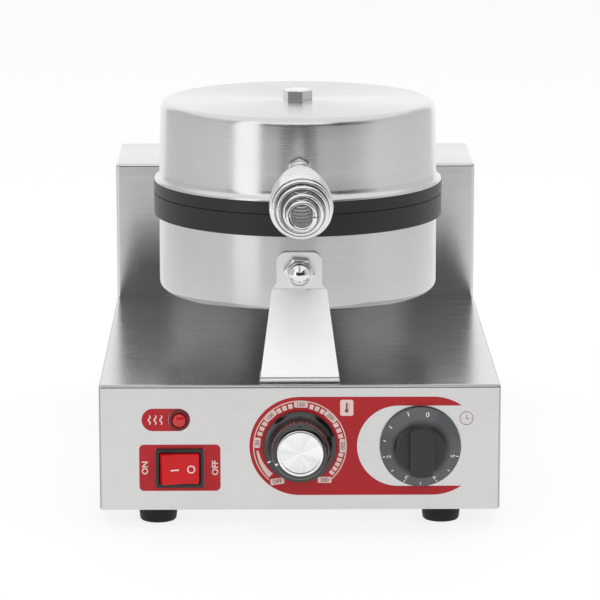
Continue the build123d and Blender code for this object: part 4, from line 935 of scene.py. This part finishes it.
# Painted sheen: the skirt gets the lighter grey, the drum stays near black.
on_slope = ramp(tree, parted(tree, place)["Y"], panel_y - 9.4 * MM, panel_y - 7.4 * MM)
feed(tree, shader, Base_Color=mixed(tree, on_slope, (0.007, 0.008, 0.009, 1), skirt_painted_sheen),
     Roughness=grain["Roughness"])
bump(tree, shader, grain["Height"], 0.3, 0.03)
done(on_panel(timer, timer_place), "timer_dial_knob", "timer_dial", "knob_satin", ("timer_knob",), made)

# %% [markdown]
# ## Printed marks
# The marks on the knobs and labels are screen print: a thin, even layer of paint. Each is a flat
# shape with a few hundredths of a millimetre of thickness, laid on the surface that carries it.
# The helpers of this step take millimetres, because the marks are so small.

# %% Letters, strips and patches
PAINT = 0.06       # the paint's thickness, in millimetres
LABEL = 0.3 * MM   # how far a label stands out of the panel


def thick(piece):
    """A flat shape is extruded upwards into a thin layer of paint."""
    edit(piece)
    bpy.ops.mesh.extrude_region_move(TRANSFORM_OT_translate={"value": (0, 0, PAINT * MM)})
    tidy_mesh(piece)
    return piece


def lettering(text, height, weight=0.012):
    """Digits or a word as a flat mesh, centred on the origin, its strokes widened by the weight."""
    nothing_selected()
    bpy.ops.object.text_add(location=(0, 0, 0))
    words = bpy.context.object
    words.data.body = text
    words.data.size = height * 1.38 * MM  # capitals are a little lower than the typeface's size
    words.data.offset = height * weight * MM
    words.data.resolution_u = 4
    only(words)
    bpy.ops.object.convert(target="MESH")
    piece = bpy.context.object
    for axis in (0, 1):
        reach = [vertex.co[axis] for vertex in piece.data.vertices]
        piece.location[axis] = -(min(reach) + max(reach)) / 2
    return thick(in_place(piece))


def strip(start, end, inner, outer, steps, inner_end=None, outer_end=None):
    """An edge spun into part of a flat ring, between two angles in degrees, and tapered if asked."""
    nothing_selected()
    bpy.ops.mesh.primitive_plane_add(size=1, location=(0.5, 0.5, 0))
    piece = in_place(bpy.context.object)
    piece.scale = ((outer - inner) * MM, 1, 1)
    piece.location = (inner * MM, 0, 0)
    in_place(piece)
    edit(piece)
    pick(piece, "VERT", lambda place, normal: place.y > 0.5)
    bpy.ops.mesh.delete(type="VERT")
    bpy.ops.mesh.select_all(action="SELECT")
    bpy.ops.mesh.spin(steps=steps, angle=math.radians(start - end), center=(0, 0, 0), axis=(0, 0, 1))
    tidy_mesh(piece, outwards=False)
    if inner_end is not None:
        for vertex in piece.data.vertices:
            share = abs(math.atan2(vertex.co.y, vertex.co.x)) / abs(math.radians(end - start))
            reach = math.hypot(vertex.co.x, vertex.co.y) / MM
            near, far = (outer, outer_end) if reach > (inner + outer) / 2 else (inner, inner_end)
            vertex.co *= (near + (far - near) * share) / reach
    piece.rotation_euler = (0, 0, math.radians(start))
    return thick(in_place(piece))


def patch(width, height, corner_radius=0.0):
    """A flat rectangle, with round corners if asked."""
    nothing_selected()
    bpy.ops.mesh.primitive_plane_add(size=1)
    piece = bpy.context.object
    piece.scale = (width * MM, height * MM, 1)
    in_place(piece)
    if corner_radius:
        edit(piece)
        bpy.ops.mesh.bevel(offset=corner_radius * MM, segments=5, affect="VERTICES")
    return thick(piece)


def at(piece, x=0.0, y=0.0, turn=0.0, lift=0.0, tilt=0.0):
    """Turn a mark about its own middle, tilt it onto a slope, and move it."""
    piece.rotation_euler = (Matrix.Rotation(turn, 3, "Z") @ Matrix.Rotation(tilt, 3, "X")).to_euler()
    piece.location = (x * MM, y * MM, lift * MM)
    return in_place(piece)


# %% Paints
def paint(name, color, deeper):
    """Screen print: even, half dull and hardly any grain."""
    return moulded(name, color, deeper, 0.4, 0.5, 0.005, 2500.0)


white_print = paint("white print", (0.86, 0.84, 0.82), (0.8, 0.77, 0.75))
pale_print = paint("pale print", (0.80, 0.62, 0.58), (0.74, 0.54, 0.50))
dark_print = paint("dark print", (0.22, 0.05, 0.05), (0.18, 0.04, 0.04))
clock_print = paint("clock print", (0.33, 0.11, 0.09), (0.27, 0.09, 0.08))
print("materials so far:", len(bpy.data.materials))

# %% Marks on the timer's skirt
SLOPE = math.radians(34.8)
SKIRT_RISE = (SKIRT_TOP[1] - SKIRT_FOOT[1]) / (SKIRT_FOOT[0] - SKIRT_TOP[0])
TIMER_DIGITS = {"0": 11, "2": -105, "3": -155, "4": -205, "5": -256}


def on_skirt(piece, radius, clockwise):
    """Lay a mark on the timer's cone, its top outwards, at an angle clockwise from the top."""
    height = SKIRT_FOOT[1] + (SKIRT_FOOT[0] - radius) * SKIRT_RISE
    turn = -math.radians(clockwise)
    place = Matrix.Rotation(turn, 3, "Z") @ Vector((0, radius, height))
    return at(piece, place.x, place.y, turn, place.z, -SLOPE)


marks = [on_skirt(lettering(digit, 3.4), 20.6 if digit != "0" else 21.6, clockwise)
         for digit, clockwise in TIMER_DIGITS.items()]
marks += [on_skirt(patch(0.55, 2.0), 23.6, clockwise)
          for digit, clockwise in TIMER_DIGITS.items() if digit != "0"]
marks += [on_skirt(patch(0.55, length), 22.8, clockwise)
          for clockwise, length in ((-20, 3.0), (-55, 2.6), (-79, 2.0), (-130, 2.0), (-180, 2.0),
                                    (-230, 2.0))]
done(on_panel(joined(marks), timer_place), "timer_marks", "timer_dial", "knob_satin", (), white_print)

# %% Pointer on the thermostat knob
POINTER_TURN = math.radians(206 - 90)
side_mark = at(patch(0.95, 2.3), 0, 21.35, 0, 3.28, -math.radians(18.4))
top_mark = at(patch(1.25, 2.5), 0, 16.35, 0, 18.18, -math.radians(40))
pointer = at(joined([side_mark, top_mark]), turn=POINTER_TURN)
done(on_panel(pointer, heat_place), "heat_pointer", "thermostat_dial", "knob_gloss", (), white_print)

# %% Scale around the thermostat knob
def on_label(marks, name, finish, place=(0, 0)):
    """Join marks and lay them on a label, which is a thin plate on the panel."""
    done(on_panel(joined(marks), place, LABEL), name, "base", "label_red", (), finish)


pale, dark = [strip(-48, 228, 28.55, 29.2, 96)], []
for text, angle in (("OFF", 238.0), ("50", 175.0), ("100", 133.5), ("150", 88.5), ("200", 44.5),
                    ("250", 0.5), ("300", -54.5)):
    turn = math.radians(angle)
    radius, tilt_turn = 26.7, turn - math.pi / 2
    if text in ("OFF", "300"):  # both ends of the scale stand upright, or nearly
        radius, tilt_turn = 26.6, math.radians(8) if text == "OFF" else 0.0
    x, y = radius * math.cos(turn), radius * math.sin(turn)
    pale.append(at(patch(8.6 if len(text) == 3 else 6.6, 3.9, 0.8), x, y, tilt_turn))
    dark.append(at(lettering(text, 2.5), x, y, tilt_turn, PAINT))
pale.append(strip(226, 186, 24.3, 27.8, 20, 25.9, 27.2))
for start, end, blocks in ((166, 143, 3), (124, 99, 3), (78, 54, 3), (35, 10, 3), (-9, -44, 5)):
    step = (end - start) / blocks
    pale += [strip(start + step * (i + 0.14), start + step * (i + 0.86), 24.6, 27.6, 4)
             for i in range(blocks)]
on_label(pale, "heat_scale", pale_print, heat_place)

# %% Thermometer and digits over the pale print
THERMOMETER_X = 29.1
thermometer = [at(patch(1.0, 5.0, 0.45), THERMOMETER_X, 25.4, 0, PAINT),
               at(strip(0, 360, 0.0, 1.15, 24), THERMOMETER_X, 22.6, 0, PAINT)]
thermometer += [at(patch(1.0, 0.35), THERMOMETER_X + 1.6, 24.2 + 1.2 * i, 0, PAINT) for i in range(3)]
on_label([at(patch(8.2, 10.2, 1.2), THERMOMETER_X, 24.5)], "thermometer_card", pale_print, heat_place)
on_label(dark + thermometer, "heat_digits", dark_print, heat_place)

# %% Clock beside the timer
clock = [strip(0, 360, 3.95, 4.35, 48), at(patch(0.4, 2.6), 0, 0.9), at(patch(1.9, 0.4), 0.7, -0.3)]
clock += [at(patch(0.35, 0.7), 3.3 * math.sin(turn), 3.3 * math.cos(turn), -turn)
          for turn in (0, math.pi / 2, math.pi, -math.pi / 2)]
done(on_panel(joined(clock), (103.6 * MM, 68.6 * MM)), "timer_clock", "base", "label_red", (), clock_print)

# %% Heat waves beside the lamp
waves = []
bend, sweep = 1.02, 66
climb, shift = 2 * bend * math.sin(math.radians(sweep)), 2 * bend * math.cos(math.radians(sweep))
for x in (-93.6, -90.0, -86.4):
    for step in (-1, 0, 1):
        turn, side = (180, shift / 2) if step == 0 else (0, -shift / 2)
        waves.append(at(strip(turn - sweep, turn + sweep, bend - 0.3, bend + 0.3, 10),
                        x + side, 68.0 + step * climb))
on_label(waves, "heat_waves", white_print)

# %% ON and OFF beside the rocker
plate_low_x, plate_high_x = (end.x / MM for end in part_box("switch_label"))
switch_z = middle("switch_label").z
words = [at(lettering(text, 3.9, 0.045), x, switch_z / MM, math.pi / 2)
         for text, x in (("ON", plate_low_x + 3.5), ("OFF", plate_high_x - 3.4))]
on_label(words, "switch_words", pale_print)

# %% Marks on the rocker
pivot = Vector((middle("switch_label").x, panel_y, switch_z))


def on_rocker(piece, turn, place):
    """Lay a mark on one half of the rocker, turned in degrees, at millimetres from its pivot."""
    piece.rotation_euler = (math.pi / 2, 0, math.radians(turn))
    piece.location = pivot + Vector(place) * MM
    return in_place(piece)


on_bar = on_rocker(patch(5.4, 0.75, 0.2), 16.17, (-3.1, -5.055, -0.4))
off_ring = on_rocker(strip(0, 360, 1.85, 2.5, 40), -0.19, (7.1, -4.02, -0.1))
done(joined([on_bar, off_ring]), "rocker_marks", "rocker", "rocker_red", (), white_print)

# %% [markdown]
# ## Pilot lamp
# The lamp is a red ring that snaps into the panel and a dome over a small neon bulb.

# %% Ring and lens
lamp_place = middle("lamp_lens").xz
lamp_ring = spun([(4.3, 0.0), (6.7, 0.0), (6.7, 0.8), (6.5, 1.4), (6.1, 1.8), (5.6, 2.0), (4.9, 2.0),
                  (4.5, 1.7), (4.3, 1.2), (4.3, 0.0)], 64, 40)
done(on_panel(lamp_ring, lamp_place), "lamp_bezel", "base", "lamp_ring", ("lamp_body",))
dome = [(4.2 * math.cos(math.radians(a)) ** 0.8, 2.2 + 2.0 * math.sin(math.radians(a)))
        for a in range(12, 85, 12)]
lens = spun([(0.0, -3.0), (4.2, -3.0), (4.2, 2.2)] + dome + [(0.0, 4.2)], 64, 40)
done(on_panel(lens, lamp_place), "lamp_dome", "base", "lamp_red", ("lamp_lens",))

# %% [markdown]
# ## Floor and light
# A pale floor, a broad lamp overhead, a soft box in front and cards around are what a small product
# studio has. Polished steel shows its surroundings, so the room matters as much as the lamps: the
# wall behind the camera is dark, and that gives the deck and the column their deep tones.

# %% Floor
WHITE = (1, 1, 1, 1)


def seen_directly(tree):
    """1 where the camera or a reflection looks at the surface, 0 where it lights other things."""
    path = node(tree, "ShaderNodeLightPath").outputs
    seen = maths(tree, "ADD", path["Is Camera Ray"], path["Is Glossy Ray"])
    return maths(tree, "ADD", seen, path["Is Transmission Ray"], clamp=True)


def white_light(tree, strength):
    """Plain white light from a surface."""
    return node(tree, "ShaderNodeEmission", [("Color", WHITE), ("Strength", strength)]).outputs[0]


nothing_selected()
bpy.ops.mesh.primitive_circle_add(vertices=64, radius=7.0, fill_type="NGON", location=(0, 0, 0))
floor = bpy.context.object
floor.name = "studio_floor"
made, tree, shader, place = start_material("studio floor", Roughness=0.9)
tint = effect(tree, handling, place, Scale=0.6, Clean=grey(0.9), Marked=grey(0.88))
feed(tree, shader, Base_Color=tint["Color"])
blend = node(tree, "ShaderNodeMixShader", [(0, maths(tree, "MULTIPLY", seen_directly(tree), 0.8)),
                                           (1, tree.nodes["Principled BSDF"].outputs[0]),
                                           (2, white_light(tree, 1.0))])
feed(tree, tree.nodes["Material Output"].inputs, Surface=blend.outputs[0])
wear(floor, made)
print("floor:", round(floor.dimensions.x, 1), "m across")


# %% Lamps
def lamp(name, place, width, height, watts):
    """A soft box that looks at the middle of the object."""
    data = bpy.data.lights.new(name, "AREA")
    data.shape = "RECTANGLE"
    data.size, data.size_y, data.energy = width, height, watts
    made = bpy.data.objects.new(name, data)
    bpy.context.scene.collection.objects.link(made)
    made.location = place
    made.rotation_euler = (Vector((0, 0, 0.13)) - Vector(place)).to_track_quat("-Z", "Y").to_euler()
    return made


overhead = lamp("overhead", (0.0, 0.2, 2.2), 2.4, 1.6, 20)
overhead.visible_glossy = False
lamp("front soft box", (0.0, -2.2, 1.72), 2.4, 0.9, 7.6)
print("lamps:", [light.name for light in bpy.data.lights])


# %% Cards that the steel reflects
def only_reflected(board, name, made):
    """Name and dress a board, and hide it from the camera, from soft light and from shadows."""
    board.name = name
    wear(board, made)
    board.visible_camera = board.visible_diffuse = board.visible_shadow = False
    print(name, "is seen only in reflections")


def glowing(name):
    """A material with no shader yet, and the input that its light goes into."""
    made, tree, _, place = start_material(name)
    tree.nodes.remove(tree.nodes["Principled BSDF"])
    return made, tree, tree.nodes["Material Output"].inputs, place


def card(name, bearing, distance, width, height, brightness):
    """An upright card on the floor, at a bearing to the right of the front."""
    turn = math.radians(bearing)
    nothing_selected()
    foot = (distance * math.sin(turn), head.y - distance * math.cos(turn))
    bpy.ops.mesh.primitive_plane_add(size=1.0, rotation=(math.pi / 2, 0, turn),
                                     location=(*foot, height / 2))
    board = bpy.context.object
    board.scale = (width, height, 1)
    made, tree, output, _ = glowing(name)
    feed(tree, output, Surface=white_light(tree, brightness))
    only_reflected(in_place(board), name, made)


card("white_card", -41, 0.8, 0.30, 1.1, 1.35)
card("left_card", -100, 1.1, 1.9, 1.1, 0.64)
card("right_card", 105, 1.1, 1.9, 1.1, 0.7)
card("back_card", 180, 2.4, 4.4, 1.7, 1.07)
card("front_flag", 0, 1.3, 0.66, 0.75, 0.04)

# %% Curved wall, dark behind the camera and lighter at the sides
wall_radius, wall_height, wall_back = 3.2, 2.8, 0.9
nothing_selected()
bpy.ops.mesh.primitive_cylinder_add(vertices=96, radius=wall_radius, depth=wall_height,
                                    end_fill_type="NOTHING", location=(0, 0, wall_height / 2))
wall = in_place(bpy.context.object)
edit(wall)
bpy.ops.mesh.bisect(plane_co=(0, wall_back, 0), plane_no=(0, 1, 0), clear_outer=True)
end_edit()
made, tree, output, place = glowing("studio wall")
sideways = ramp(tree, parted(tree, place)["Y"], -0.85 * wall_radius, -0.35 * wall_radius, 0.02, 0.5,
                interpolation_type="SMOOTHSTEP")
feed(tree, output, Surface=white_light(tree, sideways))
only_reflected(wall, "studio_wall", made)

# %% World
world = bpy.data.worlds.new("studio")
bpy.context.scene.world = world
world.use_nodes = True
tree = world.node_tree
background = tree.nodes["Background"].inputs
background["Color"].default_value = WHITE
feed(tree, background, Strength=ramp(tree, seen_directly(tree), 0.0, 1.0, 0.8, 1.0))
print("world:", world.name, "with", len(tree.nodes), "nodes")
